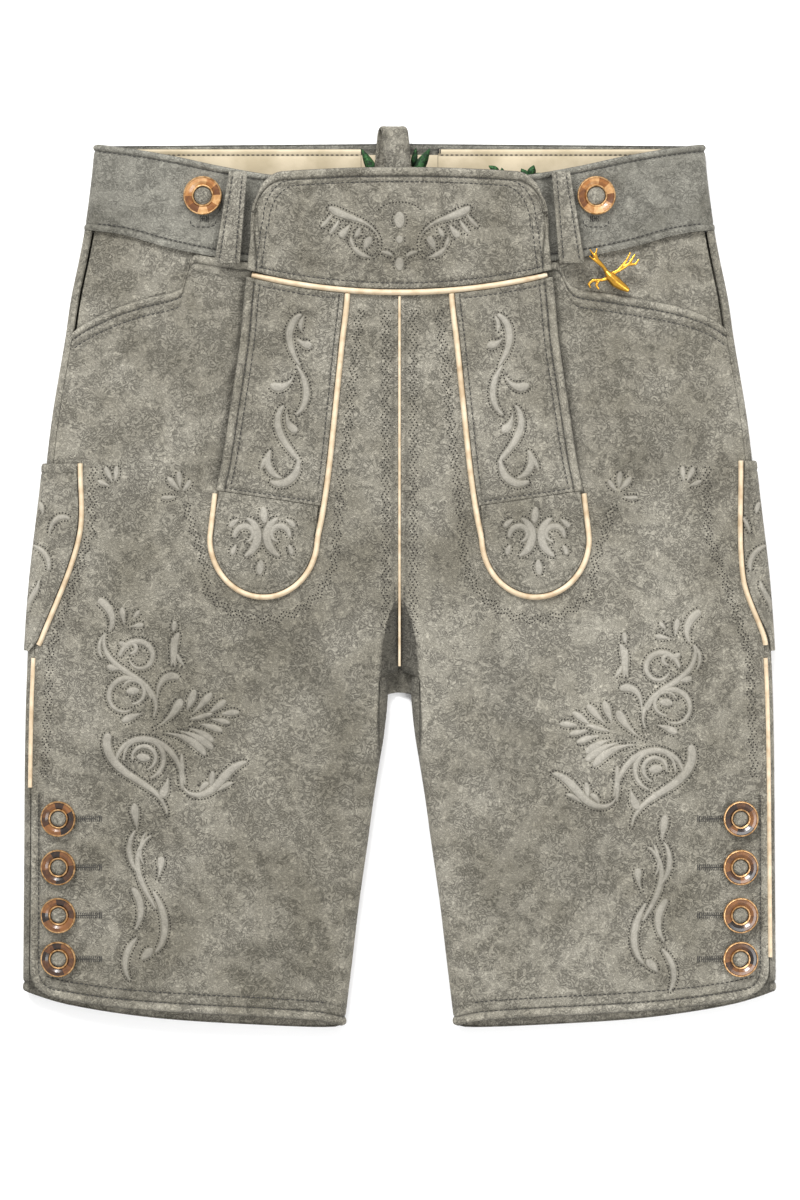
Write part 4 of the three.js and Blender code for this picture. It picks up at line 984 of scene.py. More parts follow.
# Side patches: curved patches of the same sueded leather, wrapped round each side fold over the side
# seam. Piping is sewn into each patch's front edge, and into the side seam below it.
PATCH_SEAT, PATCH_UNDER_TURN, SIDE_SEAT = 1.1, -30.0, 0.4
PATCH_PIPING, SIDE_PIPING = (3.6, 2.4), (3.0, 1.8)
PATCH_PIPING_END, SIDE_PIPING_TOP, SIDE_PIPING_BOTTOM = -47, -56, {RIGHT: -146, LEFT: -264}
PATCH_EDGE = {
    RIGHT: table("y x", (-51, 253.6), (-44, 249.2), (27, 222.6), (79, 221.6)),
    LEFT: table("y x", (-51, 254.6), (-40, 252.6), (0, 238.6), (81, 237.0)),
}


def patch_relief(points, inner, outer, top, bottom):
    return turned_edge(top, 6.7, 0.4, 0.4) + turned_edge(inner, 2.8, 0.2, 0.35)


for name, side in SIDES.items():
    edge = PATCH_EDGE[side]
    edge_at = through(edge, "y", "x")
    y = mix(edge["y"][-1], edge["y"][0], close_at_ends(90, 0.06))[:, None]
    start = stretch_at(side, edge_at(y) + PATCH_PIPING[0] / 2 + SEAM_GAP, y)
    s = mix(start, turn_to_stretch(PATCH_UNDER_TURN), close_at_ends(40, 0.08)[None, :])
    grid = outer_point(side, s, y + 0 * s)
    piece, size, area = sheet(
        f"patch_{name}", side, grid, CLOTH, suede, patch_relief, lift=PATCH_SEAT + CLOTH
    )
    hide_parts(f"side_patch_{name}")

    y = np.linspace(edge["y"][-1], PATCH_PIPING_END, 60)
    s = stretch_at(side, edge_at(y), y)
    line, normals = skin(side, s, y, SEAT)
    piping(f"patch_piping_{name}", f"piping_patch_{name}", line, normals, *PATCH_PIPING)
    y = np.linspace(SIDE_PIPING_TOP, SIDE_PIPING_BOTTOM[side], 60)
    s = np.full(60, turn_to_stretch(SIDE_SEAM_TURN))
    line, normals = skin(side, s, y, SIDE_SEAT)
    piping(f"side_piping_{name}", f"piping_side_{name}", line, normals, *SIDE_PIPING)

# Loops: a folded strip of leather on each side of the waistband for a belt, and one at the centre
# back to hang the garment up by.
LOOP_CLOTH, LOOP_HUMP = 1.5, 1.6
HANGER_WIDTH, HANGER_SLANT, HANGER_TOP, HANGER_BEND = 18.6, -8.6, 314.4, 4.4
HANGER_FRONT, HANGER_BACK = 272, 281


def loop_relief(points, left, right, top, bottom):
    edge = np.minimum(left, right)
    return turned_edge(edge, 2.6, 0.35, 0.35)


for name, side in SIDES.items():
    walk, share = np.linspace(0, 1, 90)[:, None], np.linspace(-1, 1, 26)[None, :]
    middle, half = mix(LOOP_TOP[0], LOOP_BOTTOM[0], walk), mix(LOOP_TOP[2], LOOP_BOTTOM[2], walk) / 2
    y = mix(LOOP_TOP[1], LOOP_BOTTOM[1], walk) + 0 * share
    hump = LOOP_HUMP * np.sin(np.pi * walk) ** 0.6
    x = side * (middle + share * half)
    grid = over_front(x, y, SEAT + EDGE_LIFT + FLAP + hump + LOOP_CLOTH)
    piece, size, area = sheet(f"belt_strip_{name}", side, grid, LOOP_CLOTH, suede, loop_relief)
    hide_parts(f"belt_loop_{name}")

low = FACING_Z + SEAT
top_centre = HANGER_TOP - HANGER_BEND - LOOP_CLOTH / 2
middle_z = low + LOOP_CLOTH / 2 + HANGER_BEND
turns = np.radians(np.linspace(-90, 90, 30))
y = np.concatenate([
    np.linspace(HANGER_BACK, top_centre, 24)[:-1],
    top_centre + HANGER_BEND * np.cos(turns),
    np.linspace(top_centre, HANGER_FRONT, 30)[1:],
])
z = np.concatenate([np.full(23, middle_z - HANGER_BEND), middle_z + HANGER_BEND * np.sin(turns),
                    np.full(29, middle_z + HANGER_BEND)])
share = np.linspace(-1, 1, 22)[None, :]
slant = HANGER_SLANT * (1 - np.linspace(0, 1, len(y)))[:, None]
x = slant + share * HANGER_WIDTH / 2
grid = np.stack([x, y[:, None] + 0 * x, z[:, None] + 0 * x], axis=-1)
piece, size, area = sheet("hanging_strip", RIGHT, grid, LOOP_CLOTH, suede, loop_relief, lift=LOOP_CLOTH / 2)
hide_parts("hanging_loop")

# Buttons: polished horn rings round a small dome of sueded leather, four down each leg's vent and
# one each side of the waistband.


def polished_horn(name, dark, middle, light):
    """Cattle horn, cut in facets and polished: streaky brown under a hard clear shine, each facet given
    its own random tone as painted reflection."""
    material, tree = new_material(name)
    place = add(tree, "TexCoord").outputs["Object"]
    streak = add(tree, "TexNoise", {"Scale": 260.0, "Detail": 4.0, "Distortion": 1.0}, {"Vector": place})
    # Painted reflection: a random tone per facet for the light each facet catches.
    facet = add(tree, "Attribute", attribute_name="facet").outputs["Fac"]
    part = add(tree, "Math", {1: 0.45}, {0: streak.outputs["Fac"]}, operation="MULTIPLY")
    tone = add(tree, "Math", {1: 0.55}, {0: facet, 2: part.outputs[0]}, operation="MULTIPLY_ADD")
    colour = ramp(tree, tone.outputs[0], (0.25, dark), (0.5, middle), (0.78, light))
    shader = add(
        tree, "BsdfPrincipled",
        {"Roughness": 0.25, "IOR": 1.55, "Coat Weight": 0.4, "Coat Roughness": 0.12},
        {"Base Color": colour},
    )
    finish_material(tree, shader)
    return material


def turned_brass(name):
    """Brass wire, turned and lacquered: pale gold, fairly bright."""
    material, tree = new_material(name)
    place = add(tree, "TexCoord").outputs["Object"]
    tarnish = add(tree, "TexNoise", {"Scale": 420.0, "Detail": 3.0}, {"Vector": place})
    colour = ramp(tree, tarnish.outputs["Fac"], (0.35, "#8a6236"), (0.65, "#cfa878"))
    values = {"Metallic": 0.6, "Roughness": 0.34}
    finish_material(tree, add(tree, "BsdfPrincipled", values, {"Base Color": colour}))
    return material


amber_horn = polished_horn("polished_amber_horn", "#5d3513", "#96602a", "#c9a06c")
dark_horn = polished_horn("polished_dark_horn", "#170c06", "#452812", "#7c4f25")
brass_rim = turned_brass("turned_brass_rim")
BUTTON_SIDES, FACET_SIDES, BRASS_STEPS = 30, 3, (4, 5, 10, 11)
WAIST_BUTTON, LEG_BUTTON = (13.4, 6.4, 4.4), (12.4, 5.6, 4.8)
WAIST_BUTTON_AT = (136, 264)
LEG_BUTTON_X, LEG_BUTTON_ROWS = 236.4, (-167.6, -201.3, -234.6, -265.0)


def ring_button(name, node, size, x, y, horn, turn):
    """A ring with a raised brass rim at its outer edge and at its hole, and cut facets between."""
    radius, hole, high = size
    profile = [
        (hole + 0.4, 0.2),
        (radius - 1.8, 0),
        (radius - 0.4, 0.26 * high),
        (radius, 0.52 * high),
        (radius, 0.78 * high),
        (radius - 0.4, 0.92 * high),
        (radius - 1.0, 0.9 * high),
        (radius - 1.5, 0.8 * high),
        (mix(hole, radius, 0.5), 0.86 * high),
        (hole + 1.5, 0.6 * high),
        (hole + 1.1, 0.72 * high),
        (hole + 0.6, 0.74 * high),
        (hole + 0.1, 0.66 * high),
        (hole, 0.4 * high),
    ]
    bpy.ops.object.select_all(action="DESELECT")
    bpy.ops.mesh.primitive_torus_add(
        major_segments=BUTTON_SIDES, minor_segments=len(profile), major_radius=1, minor_radius=0.4
    )
    piece = bpy.context.object
    piece.name = piece.data.name = name
    out, rise = np.array(profile).T
    turns = np.arange(BUTTON_SIDES)[:, None] * 2 * np.pi / BUTTON_SIDES + turn
    local = np.stack([np.cos(turns) * out, np.sin(turns) * out, rise + 0 * turns], axis=-1)
    up = standing_normals(np.array(x), np.array(y))
    side_way = np.cross((0, 1, 0), up)
    side_way /= np.linalg.norm(side_way)
    axes = np.stack([side_way, np.cross(up, side_way), up])
    middle = over_front(x, y, SEAT)
    piece.data.vertices.foreach_set("co", ((local @ axes + middle) * MM).ravel())
    piece.data.materials.append(horn)
    piece.data.materials.append(brass_rim)
    # Random tone for each facet, as painted reflection.
    facets = piece.data.attributes.new("facet", "FLOAT", "FACE")
    tones = np.random.default_rng(int(abs(x) + abs(y) + turn * 9)).random(BUTTON_SIDES)
    for face in piece.data.polygons:
        ring, step = divmod(face.index, len(profile))
        facets.data[face.index].value = tones[ring // FACET_SIDES]
        face.material_index = 1 if step in BRASS_STEPS else 0
    bpy.ops.object.mode_set(mode="EDIT")
    bpy.ops.mesh.select_all(action="SELECT")
    bpy.ops.mesh.normals_make_consistent(inside=False)
    bpy.ops.object.mode_set(mode="OBJECT")
    bpy.ops.object.shade_smooth_by_angle(angle=math.radians(22))
    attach(piece, "root")
    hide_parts(node)


for name, side in SIDES.items():
    x, y = WAIST_BUTTON_AT
    ring_button(f"waist_button_{name}", f"button_waist_{name}_ring", WAIST_BUTTON, side * x, y,
                amber_horn, 0.4 + side)
    for k, y in enumerate(LEG_BUTTON_ROWS, 1):
        ring_button(f"leg_button_{name}_{k}", f"button_leg_{name}_{k}_ring", LEG_BUTTON,
                    side * LEG_BUTTON_X, y, dark_horn, 0.9 * k + side)


for name, node in nodes.items():
    if name.startswith("button_") and name.endswith("centre"):
        node.data.materials.clear()
        node.data.materials.append(suede)
        node.data.shade_smooth()

# Charm: a stag's head with two antlers, cast in one piece of brass, gold plated. It hangs at the left
# belt loop. Its skin is melted over from the plain casting's shape.
CHARM_GRAIN, CHARM_EASING = 0.4, 3


def cast_gold(name):
    """Brass casting, tumbled and plated with yellow gold: bright, with a soft cast skin."""
    material, tree = new_material(name)
    place = add(tree, "TexCoord").outputs["Object"]
    skin = add(tree, "TexNoise", {"Scale": 700.0, "Detail": 3.0}, {"Vector": place})
    dull = add(tree, "MapRange", {"To Min": 0.2, "To Max": 0.42}, {"Value": skin.outputs["Fac"]})
    bump = add(tree, "Bump", {"Strength": 0.3, "Distance": 0.0003}, {"Height": skin.outputs["Fac"]})
    shader = add(
        tree, "BsdfPrincipled", {"Base Color": linear("#dba543"), "Metallic": 1.0},
        {"Roughness": dull.outputs["Result"], "Normal": bump.outputs["Normal"]},
    )
    finish_material(tree, shader)
    return material


plated_gold = cast_gold("gold_plated_casting")
bpy.ops.object.select_all(action="DESELECT")
casting = bpy.data.objects.new("antler_charm", nodes["charm"].data.copy())
casting.data.name = "antler_charm"
bpy.context.collection.objects.link(casting)
casting.select_set(True)
bpy.context.view_layer.objects.active = casting
bpy.ops.object.mode_set(mode="EDIT")
bpy.ops.mesh.select_all(action="SELECT")
bpy.ops.mesh.remove_doubles(threshold=0.01 * MM)
bpy.ops.object.mode_set(mode="OBJECT")
skinned = casting.modifiers.new("skin", "REMESH")
skinned.mode = "VOXEL"
skinned.voxel_size = CHARM_GRAIN * MM
eased = casting.modifiers.new("eased", "SMOOTH")
eased.iterations = CHARM_EASING
for modifier in ("skin", "eased"):
    bpy.ops.object.modifier_apply(modifier=modifier)
casting.data.shade_smooth()
casting.data.materials.clear()
casting.data.materials.append(plated_gold)
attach(casting, "root")
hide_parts("charm")

# Stitching: dark grey polyester thread in stitches 2.5 mm long, 3.4 mm apart, one row beside most
# seams of the front and two rows on its open edges.
STITCH_LONG, STITCH_PITCH, THREAD = 2.5, 3.4, 0.95


def sewing_thread(name, colour):
    """Spun polyester thread, dyed dark grey: matt, with a faint sheen along it."""
    material, tree = new_material(name)
    place = add(tree, "TexCoord").outputs["Object"]
    twist = add(tree, "TexNoise", {"Scale": 2400.0, "Detail": 1.0}, {"Vector": place})
    light = ramp(tree, twist.outputs["Fac"], (0.35, colour), (0.7, "#33312c"))
    shader = add(
        tree, "BsdfPrincipled", {"Roughness": 0.7, "Sheen Weight": 0.2}, {"Base Color": light}
    )
    finish_material(tree, shader)
    return material


dark_thread = sewing_thread("dark_polyester_thread", "#1d1b18")


def surface_of(*names):
    """The finished surfaces of some pieces, to lay smaller things on."""
    corners, faces = [], []
    for name in names:
        mesh = bpy.data.objects[name].data
        start = len(corners)
        corners.extend(corner.co / MM for corner in mesh.vertices)
        faces.extend([start + k for k in face.vertices] for face in mesh.polygons)
    return BVHTree.FromPolygons(corners, faces)


def drop(surface, x, y):
    """Where a plumb line from above meets a surface, and the surface's direction there."""
    place, normal, _, _ = surface.ray_cast(Vector((x, y, 80)), Vector((0, 0, -1)))
    return place, normal


def land(surface, x, y):
    """The same, or the nearest place of the surface just past its edge."""
    place, normal = drop(surface, x, y)
    if place is None:
        place, normal, _, _ = surface.find_nearest(Vector((x, y, 25)))
    return place, normal


def even_walk(points, pitch):
    """Points along a line at an even pitch, and the line's direction at each."""
    points = np.asarray(points, float)
    lengths = np.concatenate([[0], np.cumsum(np.linalg.norm(np.diff(points, axis=0), axis=1))])
    count = max(int(lengths[-1] / pitch), 1)
    at = (np.arange(count) + 0.5) * lengths[-1] / count
    places = np.stack([np.interp(at, lengths, points[:, k]) for k in range(2)], axis=1)
    ahead = np.stack([np.interp(at + 0.5, lengths, points[:, k]) for k in range(2)], axis=1)
    behind = np.stack([np.interp(at - 0.5, lengths, points[:, k]) for k in range(2)], axis=1)
    aims = ahead - behind
    return places, aims / np.maximum(np.linalg.norm(aims, axis=1, keepdims=True), 1e-9)


bpy.ops.object.select_all(action="DESELECT")
bpy.ops.mesh.primitive_uv_sphere_add(segments=6, ring_count=5, radius=0.5)
stitch = bpy.context.object
stitch_corners = np.array([corner.co[:] for corner in stitch.data.vertices])
stitch_corners[:, 0] = np.sign(stitch_corners[:, 0]) * np.abs(stitch_corners[:, 0] * 2) ** 0.5 / 2
stitch_faces = [tuple(face.vertices) for face in stitch.data.polygons]
bpy.data.objects.remove(stitch)


def scatter(name, shape, faces, spots, material):
    """One mesh of many copies of a small shape, each at a place, along an aim, on a normal, at a size."""
    corners, polygons = [], []
    for place, aim, normal, size in spots:
        up = np.array(normal)
        along = np.array(aim) - up * np.dot(aim, up)
        along /= np.linalg.norm(along)
        axes = np.stack([along, np.cross(up, along), up]) * np.array(size)[:, None]
        start = len(corners) * len(shape)
        corners.append(shape @ axes + np.array(place))
        polygons.extend(tuple(start + k for k in face) for face in faces)
    mesh = bpy.data.meshes.new(name)
    mesh.from_pydata(np.concatenate(corners) * MM, [], polygons)
    mesh.shade_smooth()
    mesh.materials.append(material)
    piece = bpy.data.objects.new(name, mesh)
    bpy.context.collection.objects.link(piece)
    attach(piece, "root")
    return piece


def stitches(surface, line):
    """Spots for the stitches of one row, laid on a surface."""
    spots = []
    for (x, y), aim in zip(*even_walk(line, STITCH_PITCH)):
        place, normal = drop(surface, x, y)
        if place is not None:
            spots.append((place, (*aim, 0.0), normal, (STITCH_LONG, THREAD, THREAD * 0.8)))
    return spots


def row(side, x, y):
    """A line given by its distance from the middle, on one side of the garment."""
    return np.stack(np.broadcast_arrays(side * np.asarray(x, float), y), axis=1)


OVERCAST_PITCH, OVERCAST_OFF, OVERCAST, END_BAR = 1.3, 1.35, (2.0, 0.7, 0.7), (5.2, 0.8, 0.8)


def buttonhole(surface, side, near, far, y):
    """Spots for a sewn hole between two distances from the middle: overcast edges and an end bar."""
    spots = []
    for x in np.arange(near, far, OVERCAST_PITCH):
        for edge in (-1, 1):
            place, normal = land(surface, side * x, y + edge * OVERCAST_OFF)
            spots.append((place, (0.3 * side * edge, 1.0, 0.0), normal, OVERCAST))
    for x in (near - 1.6, near - 0.6):
        place, normal = land(surface, side * x, y)
        spots.append((place, (0.0, 1.0, 0.0), normal, END_BAR))
    place, normal = land(surface, side * (near + far) / 2, y)
    spots.append((place, (1.0, 0.0, 0.0), normal, (far - near, 0.9, 0.5)))
    return spots


FLAP_SEAM_ROW, STRIP_SEAM_ROW, STRIP_PIPING_ROW, TONGUE_ROW = 6.2, 6.4, 5.6, 2.6
on_flap = surface_of("flap_panel")
spots = []
for inset in (FLAP_TURN, FLAP_SECOND):
    outline = []
    for share in np.sin(np.linspace(-np.pi / 2, np.pi / 2, 160)):
        outline.append((share * (TOP_OUTER - inset), float(flap_top_at(share * TOP_OUTER)) - inset))
    low = float(flap_seam_at(SEAM_OUTER)) + 4
    ends = [(float(flap_outer_at(y)) - inset, y) for y in np.linspace(low, TOP_SQUARE - 10, 30)]
    spots += stitches(on_flap, [(-x, y) for x, y in ends] + outline + ends[::-1])
x = np.linspace(-98, 98, 60)
spots += stitches(on_flap, row(1, x, flap_seam_at(x) + FLAP_SEAM_ROW))
for name, side in SIDES.items():
    on_strip = surface_of(f"flap_strip_{name}", f"flap_tongue_{name}")
    y = np.linspace(64, 200, 50)
    for inset in (FLAP_TURN, FLAP_SECOND):
        spots += stitches(on_strip, row(side, flap_outer_at(y) - inset, y))
    spots += stitches(on_strip, row(side, strip_line_at(y) + STRIP_PIPING_ROW, y))
    x = np.linspace(44, 102, 30)
    spots += stitches(on_strip, row(side, x, flap_seam_at(x) - STRIP_SEAM_ROW))
    x = np.linspace(58, 122, 30)
    spots += stitches(on_strip, row(side, x, tongue_seam_at(x) + TONGUE_ROW))
scatter("flap_stitches", stitch_corners, stitch_faces, spots, dark_thread)

# The vent's row of stitches and the buttonholes, by distance from the middle, and the outline sewn
# round the waist button's hole.
HEM_FROM, VENT_X, HOLE_FROM, HOLE_TO = 52, 250.8, 208.5, 227
KEYHOLE = np.array([(127, 247.5), (127.5, 244.2), (131, 242.6), (141, 242.6), (144.5, 244.2), (145, 247.5)])
LOOP_ROW, CENTRE_ROW, BARTACK, BARTACK_Y = 3.2, 3.2, (4.2, 0.9, 0.9), 300.4
spots = []
for name, side in SIDES.items():
    on_leg = surface_of(f"leg_front_{name}", f"waist_band_{name}")
    x = np.linspace(HEM_FROM, VENT_X - VENT_CORNER, 80)
    hem_row = list(zip(x, front_hem_at(x) + HEM_TURN))
    low, reach = hem_row[-1][1], VENT_CORNER - 2
    for turn in np.radians(np.linspace(-80, 0, 8)):
        hem_row.append((VENT_X - reach + reach * math.cos(turn), low + reach + reach * math.sin(turn)))
    hem_row += [(VENT_X, y) for y in np.linspace(low + VENT_CORNER, -VENT_TOP - 5, 50)]
    spots += stitches(on_leg, row(side, *np.transpose(hem_row)))
    x = np.linspace(HEM_FROM, 246, 80)
    spots += stitches(on_leg, row(side, x, front_hem_at(x) + HEM_SECOND))
    for y in LEG_BUTTON_ROWS:
        spots += buttonhole(on_leg, side, HOLE_FROM, HOLE_TO, y)
    spots += stitches(on_leg, row(side, *KEYHOLE.T))
    spots += buttonhole(on_leg, side, 134, 138, 248.4)
    on_loop = surface_of(f"belt_strip_{name}")
    walk = np.linspace(0.04, 0.96, 30)
    middle, loop_wide, y = (
        mix(LOOP_TOP[0], LOOP_BOTTOM[0], walk),
        mix(LOOP_TOP[2], LOOP_BOTTOM[2], walk),
        mix(LOOP_TOP[1], LOOP_BOTTOM[1], walk),
    )
    for edge in (-1, 1):
        spots += stitches(on_loop, row(side, middle + edge * (loop_wide / 2 - LOOP_ROW), y))
    y = np.linspace(-6, -52, 20)
    spots += stitches(on_leg, row(side, CENTRE_ROW + 0 * y, y))
    mouth = POCKET_MOUTH[side]
    for inset in (MOUTH_TURN, MOUTH_SECOND):
        x = np.linspace(mouth["x"][2] + inset * 0.4, 226, 50)
        spots += stitches(on_leg, row(side, x, through(mouth, "x", "y")(x) - inset))
    x = np.linspace(100, 210, 50)
    spots += stitches(on_leg, row(side, x, band_bottom_at(x) + BAND_TURN))
    spots += stitches(on_leg, row(side, x, band_top_at(x) - BAND_TURN))
on_facing = surface_of("waist_facing_right", "waist_facing_left", "waist_facing_centre")
x = np.linspace(FACING_IN + 1, FACING_SIDE - 2, 60)
for side in SIDES.values():
    spots += stitches(on_facing, row(side, x, FACING_TOP - FACING_RIM))
for x in np.linspace(23.5, 28.5, 6):
    place, normal = land(on_facing, x, BARTACK_Y)
    spots.append((place, (0.0, 1.0, 0.0), normal, BARTACK))
scatter("garment_stitches", stitch_corners, stitch_faces, spots, dark_thread)

# Leaf print: a few green leaves on the cream facing, thick matt ink on the leather, beside the
# hanging loop and on the left. Each row is a leaf's middle, aim in degrees, length and width.
LEAVES = table(
    "x y aim long wide",
    (-20.5, 288, 118, 27, 7.5),
    (-12.5, 290, 104, 20, 5.5),
    (14.5, 288, 60, 28, 8.5),
    (10.5, 293, 82, 15, 4.5),
    (66.0, 285.5, 150, 9, 4.5),
    (72.0, 283.0, 100, 7, 4.0),
    (87.5, 281.5, 120, 10, 6.5),
    (92.5, 284.0, 70, 9, 6.0),
    (97.5, 280.0, 10, 11, 6.0),
    (105.5, 281.0, 30, 8, 4.5),
    (90.0, 277.5, 170, 10, 5.0),
)


def printed_ink(name):
    """Screen-printed ink: matt green, thinner and darker in patches 2 mm wide."""
    material, tree = new_material(name)
    place = add(tree, "TexCoord").outputs["Object"]
    tone = add(tree, "TexNoise", {"Scale": 420.0, "Detail": 3.0, "Distortion": 1.0}, {"Vector": place})
    colour = ramp(tree, tone.outputs["Fac"], (0.38, "#0e2a12"), (0.5, "#1d4a20"), (0.66, "#3c6e3a"))
    finish_material(tree, add(tree, "BsdfPrincipled", {"Roughness": 0.75}, {"Base Color": colour}))
    return material


LEAF_STEPS, INK_THICK = 9, 0.5
leaf_u = np.linspace(0, 1, LEAF_STEPS)
leaf_half = np.sin(np.pi * leaf_u ** 0.8) ** 0.9 / 2
upper = [(u - 0.5, half) for u, half in zip(leaf_u, leaf_half)]
lower = [(u, -half) for u, half in upper]
rim = upper + lower[-2:0:-1]
leaf_corners = np.array([(x, y, 0.2) for x, y in rim] + [(0, 0, 0.5), (0, 0, -0.5)])
count = len(rim)
leaf_faces = [(k, (k + 1) % count, count + 1) for k in range(count)]
leaf_faces += [((k + 1) % count, k, count) for k in range(count)]
spots = []
for x, y, aim, long, wide in zip(*LEAVES.values()):
    place, normal = land(on_facing, x, y)
    turn = math.radians(aim)
    spots.append((place, (math.cos(turn), math.sin(turn), 0.0), normal, (long, wide, INK_THICK)))
leaves = scatter("facing_leaf_print", leaf_corners, leaf_faces, spots, printed_ink("green_printed_ink"))

# Ornament: scrolls and leaves pressed up from behind the leather, each outlined by a row of pricked
# dots. It is worked alike on both sides, so it is drawn once and mirrored. A stroke has a start, an aim
# in degrees, a length, the turn of its first and second half, its width, and where it is widest.
DOT, DOT_PITCH, DOT_CLEAR, STROKE_RISE = 1.15, 2.15, 1.1, 1.05
FULLNESS = 1.34
THIGH_STROKES = table(
    "x y aim long bend curl wide bulb",
    # top sprig and the stem down to the great scroll
    (209.5, -15.5, 206, 27, 42, 60, 4.6, 0.25),
    (203.0, -37.0, 304, 78, -92, 98, 3.2, 0.45),
    (190.8, -33.5, 84, 13, -4, 10, 3.4, 0.7),
    (189.0, -34.5, 178, 12, -8, 12, 3.0, 0.75),
    (184.5, -28.5, 128, 7, 0, 0, 2.6, 0.6),
    (203.5, -38.5, 318, 20, -40, -46, 2.2, 0.5),
    # two spirals on the stem, each with a bud inside
    (194.4, -56.5, 98, 60, 140, 205, 3.3, 0.35),
    (187.5, -50.0, 58, 9, -30, 0, 3.2, 0.6),
    (171.4, -86.0, 82, 70, -122, -186, 3.3, 0.3),
    (189.6, -79.6, 168, 9.5, 6, 6, 4.6, 0.5),
    (186.5, -87.6, 190, 37, -130, -135, 2.4, 0.5),
    (187.4, -52.6, 198, 15, -120, -130, 2.6, 0.5),
    (193.2, -63.8, 6, 10, 6, 10, 3.8, 0.65),
    (178.0, -94.2, -16, 16, -6, -10, 4.2, 0.7),
    # a pair of leaves beside the spirals
    (158.5, -62.0, 112, 25, -16, 34, 4.2, 0.62),
    (155.5, -62.5, 78, 21, 12, -30, 3.8, 0.62),
    (156.5, -38.0, 96, 8, 0, 0, 3.0, 0.55),
    (149.0, -61.5, 44, 10, 14, 26, 2.4, 0.6),
    # curled stem and leaf at the root of the fan
    (170.0, -99.0, 116, 42, -14, 130, 4.4, 0.85),
    (172.0, -105.5, 158, 31, -24, -22, 5.0, 0.82),
    # fan of leaves
    (147.5, -92.5, 120, 16, -10, 4, 4.4, 0.62),
    (143.5, -94.5, 140, 20, -8, 6, 4.2, 0.7),
    (132.0, -94.0, 150, 15, -8, 8, 3.8, 0.62),
    (123.5, -94.8, 174, 13, 0, 8, 3.6, 0.6),
    (146.0, -98.6, 172, 17, -8, 4, 2.8, 0.6),
    (131.0, -98.2, 188, 14, 4, 6, 3.2, 0.65),
    (138.5, -101.6, 192, 17, 6, 8, 3.8, 0.66),
    (147.0, -104.2, 198, 21, 10, 18, 4.4, 0.72),
    (155.0, -106.0, 192, 30, 14, 26, 4.8, 0.74),
    (164.5, -107.8, 184, 36, 22, 36, 4.8, 0.72),
    # great scroll
    (200.8, -107.0, 302, 78, -90, 58, 5.0, 0.18),
    (196.4, -132.0, 80, 80, 122, 60, 3.6, 0.5),
    (174.4, -139.6, 168, 66, -135, -135, 3.0, 0.45),
    (182.5, -124.5, 184, 10.0, 4, 4, 4.8, 0.5),
    (176.0, -133.4, 172, 40, -140, -140, 2.6, 0.5),
    (160.0, -138.5, 284, 16, 6, 18, 4.8, 0.7),
    # lower curl with its buds
    (151.0, -122.0, 268, 26, 2, -6, 3.2, 0.5),
    (150.4, -143.0, 264, 58, -128, 44, 4.8, 0.62),
    (138.5, -150.0, 104, 10.5, 26, 44, 3.2, 0.65),
    (130.5, -146.0, 92, 12, 4, 4, 3.4, 0.6),
    (126.5, -148.5, 140, 13, 10, 20, 2.8, 0.6),
    # wavy stem down to the hem
    (182.0, -175.5, 88, 19, -6, 8, 4.6, 0.7),
    (182.8, -175.0, 308, 34, -44, -38, 3.0, 0.5),
    (170.8, -178.5, 336, 60, -78, -16, 3.2, 0.5),
    (171.5, -217.0, 238, 48, 26, 54, 4.0, 0.5),
    (181.5, -249.5, 316, 34, -34, -50, 3.4, 0.45),
    (168.5, -211.0, 114, 18, -14, -18, 4.2, 0.8),
    (186.0, -215.0, 226, 33, 40, 42, 4.2, 0.3),
    (179.3, -266.0, 128, 12, 6, 10, 4.8, 0.6),
    (176.0, -176.5, 292, 24, -14, -50, 2.0, 0.5),
)
SPRIG_STROKES = table(
    "x y aim long bend curl wide bulb",
    (152.0, 60.0, 40, 13, 8, 10, 3.4, 0.65),
    (152.0, 61.5, 84, 12, 2, 4, 3.4, 0.62),
    (150.5, 59.5, 132, 10, -6, -12, 3.0, 0.65),
    (154.5, 56.0, -14, 11, 10, 16, 2.6, 0.65),
    (199.0, 66.0, 58, 12, 6, 8, 3.2, 0.65),
    (197.5, 66.5, 100, 11, -4, -8, 3.0, 0.62),
    (200.5, 63.5, 12, 10, 10, 12, 2.8, 0.65),
)
PATCH_STROKES = table(
    "x y aim long bend curl wide bulb",
    (244.0, 4.0, 112, 26, -60, -40, 2.8, 0.4),
    (243.0, 30.0, 96, 22, 44, 84, 3.0, 0.6),
    (247.5, 44.0, 80, 9, -8, -12, 2.8, 0.6),
    (250.5, -2.0, 268, 24, 34, -50, 2.8, 0.5),
)
FLAP_STROKES = table(
    "x y aim long bend curl wide bulb",
    # wing
    (19.0, 220.5, 156, 59, -126, 12, 4.4, 0.86),
    (24.6, 226.0, 112, 10.5, 8, 10, 4.2, 0.62),
    (33.6, 244.4, 304, 12.5, 4, 10, 4.2, 0.74),
    (27.0, 241.8, 292, 8, 4, 6, 2.8, 0.6),
    (41.6, 247.0, 296, 12, 8, 10, 2.4, 0.6),
    (46.2, 251.4, 300, 13, 10, 12, 2.2, 0.6),
    (19.5, 220.8, 12, 15, 16, 34, 2.8, 0.6),
    (31.0, 226.5, 62, 9, 10, 16, 2.2, 0.6),
    (4.5, 221.5, 38, 9, -16, -26, 2.4, 0.5),
)
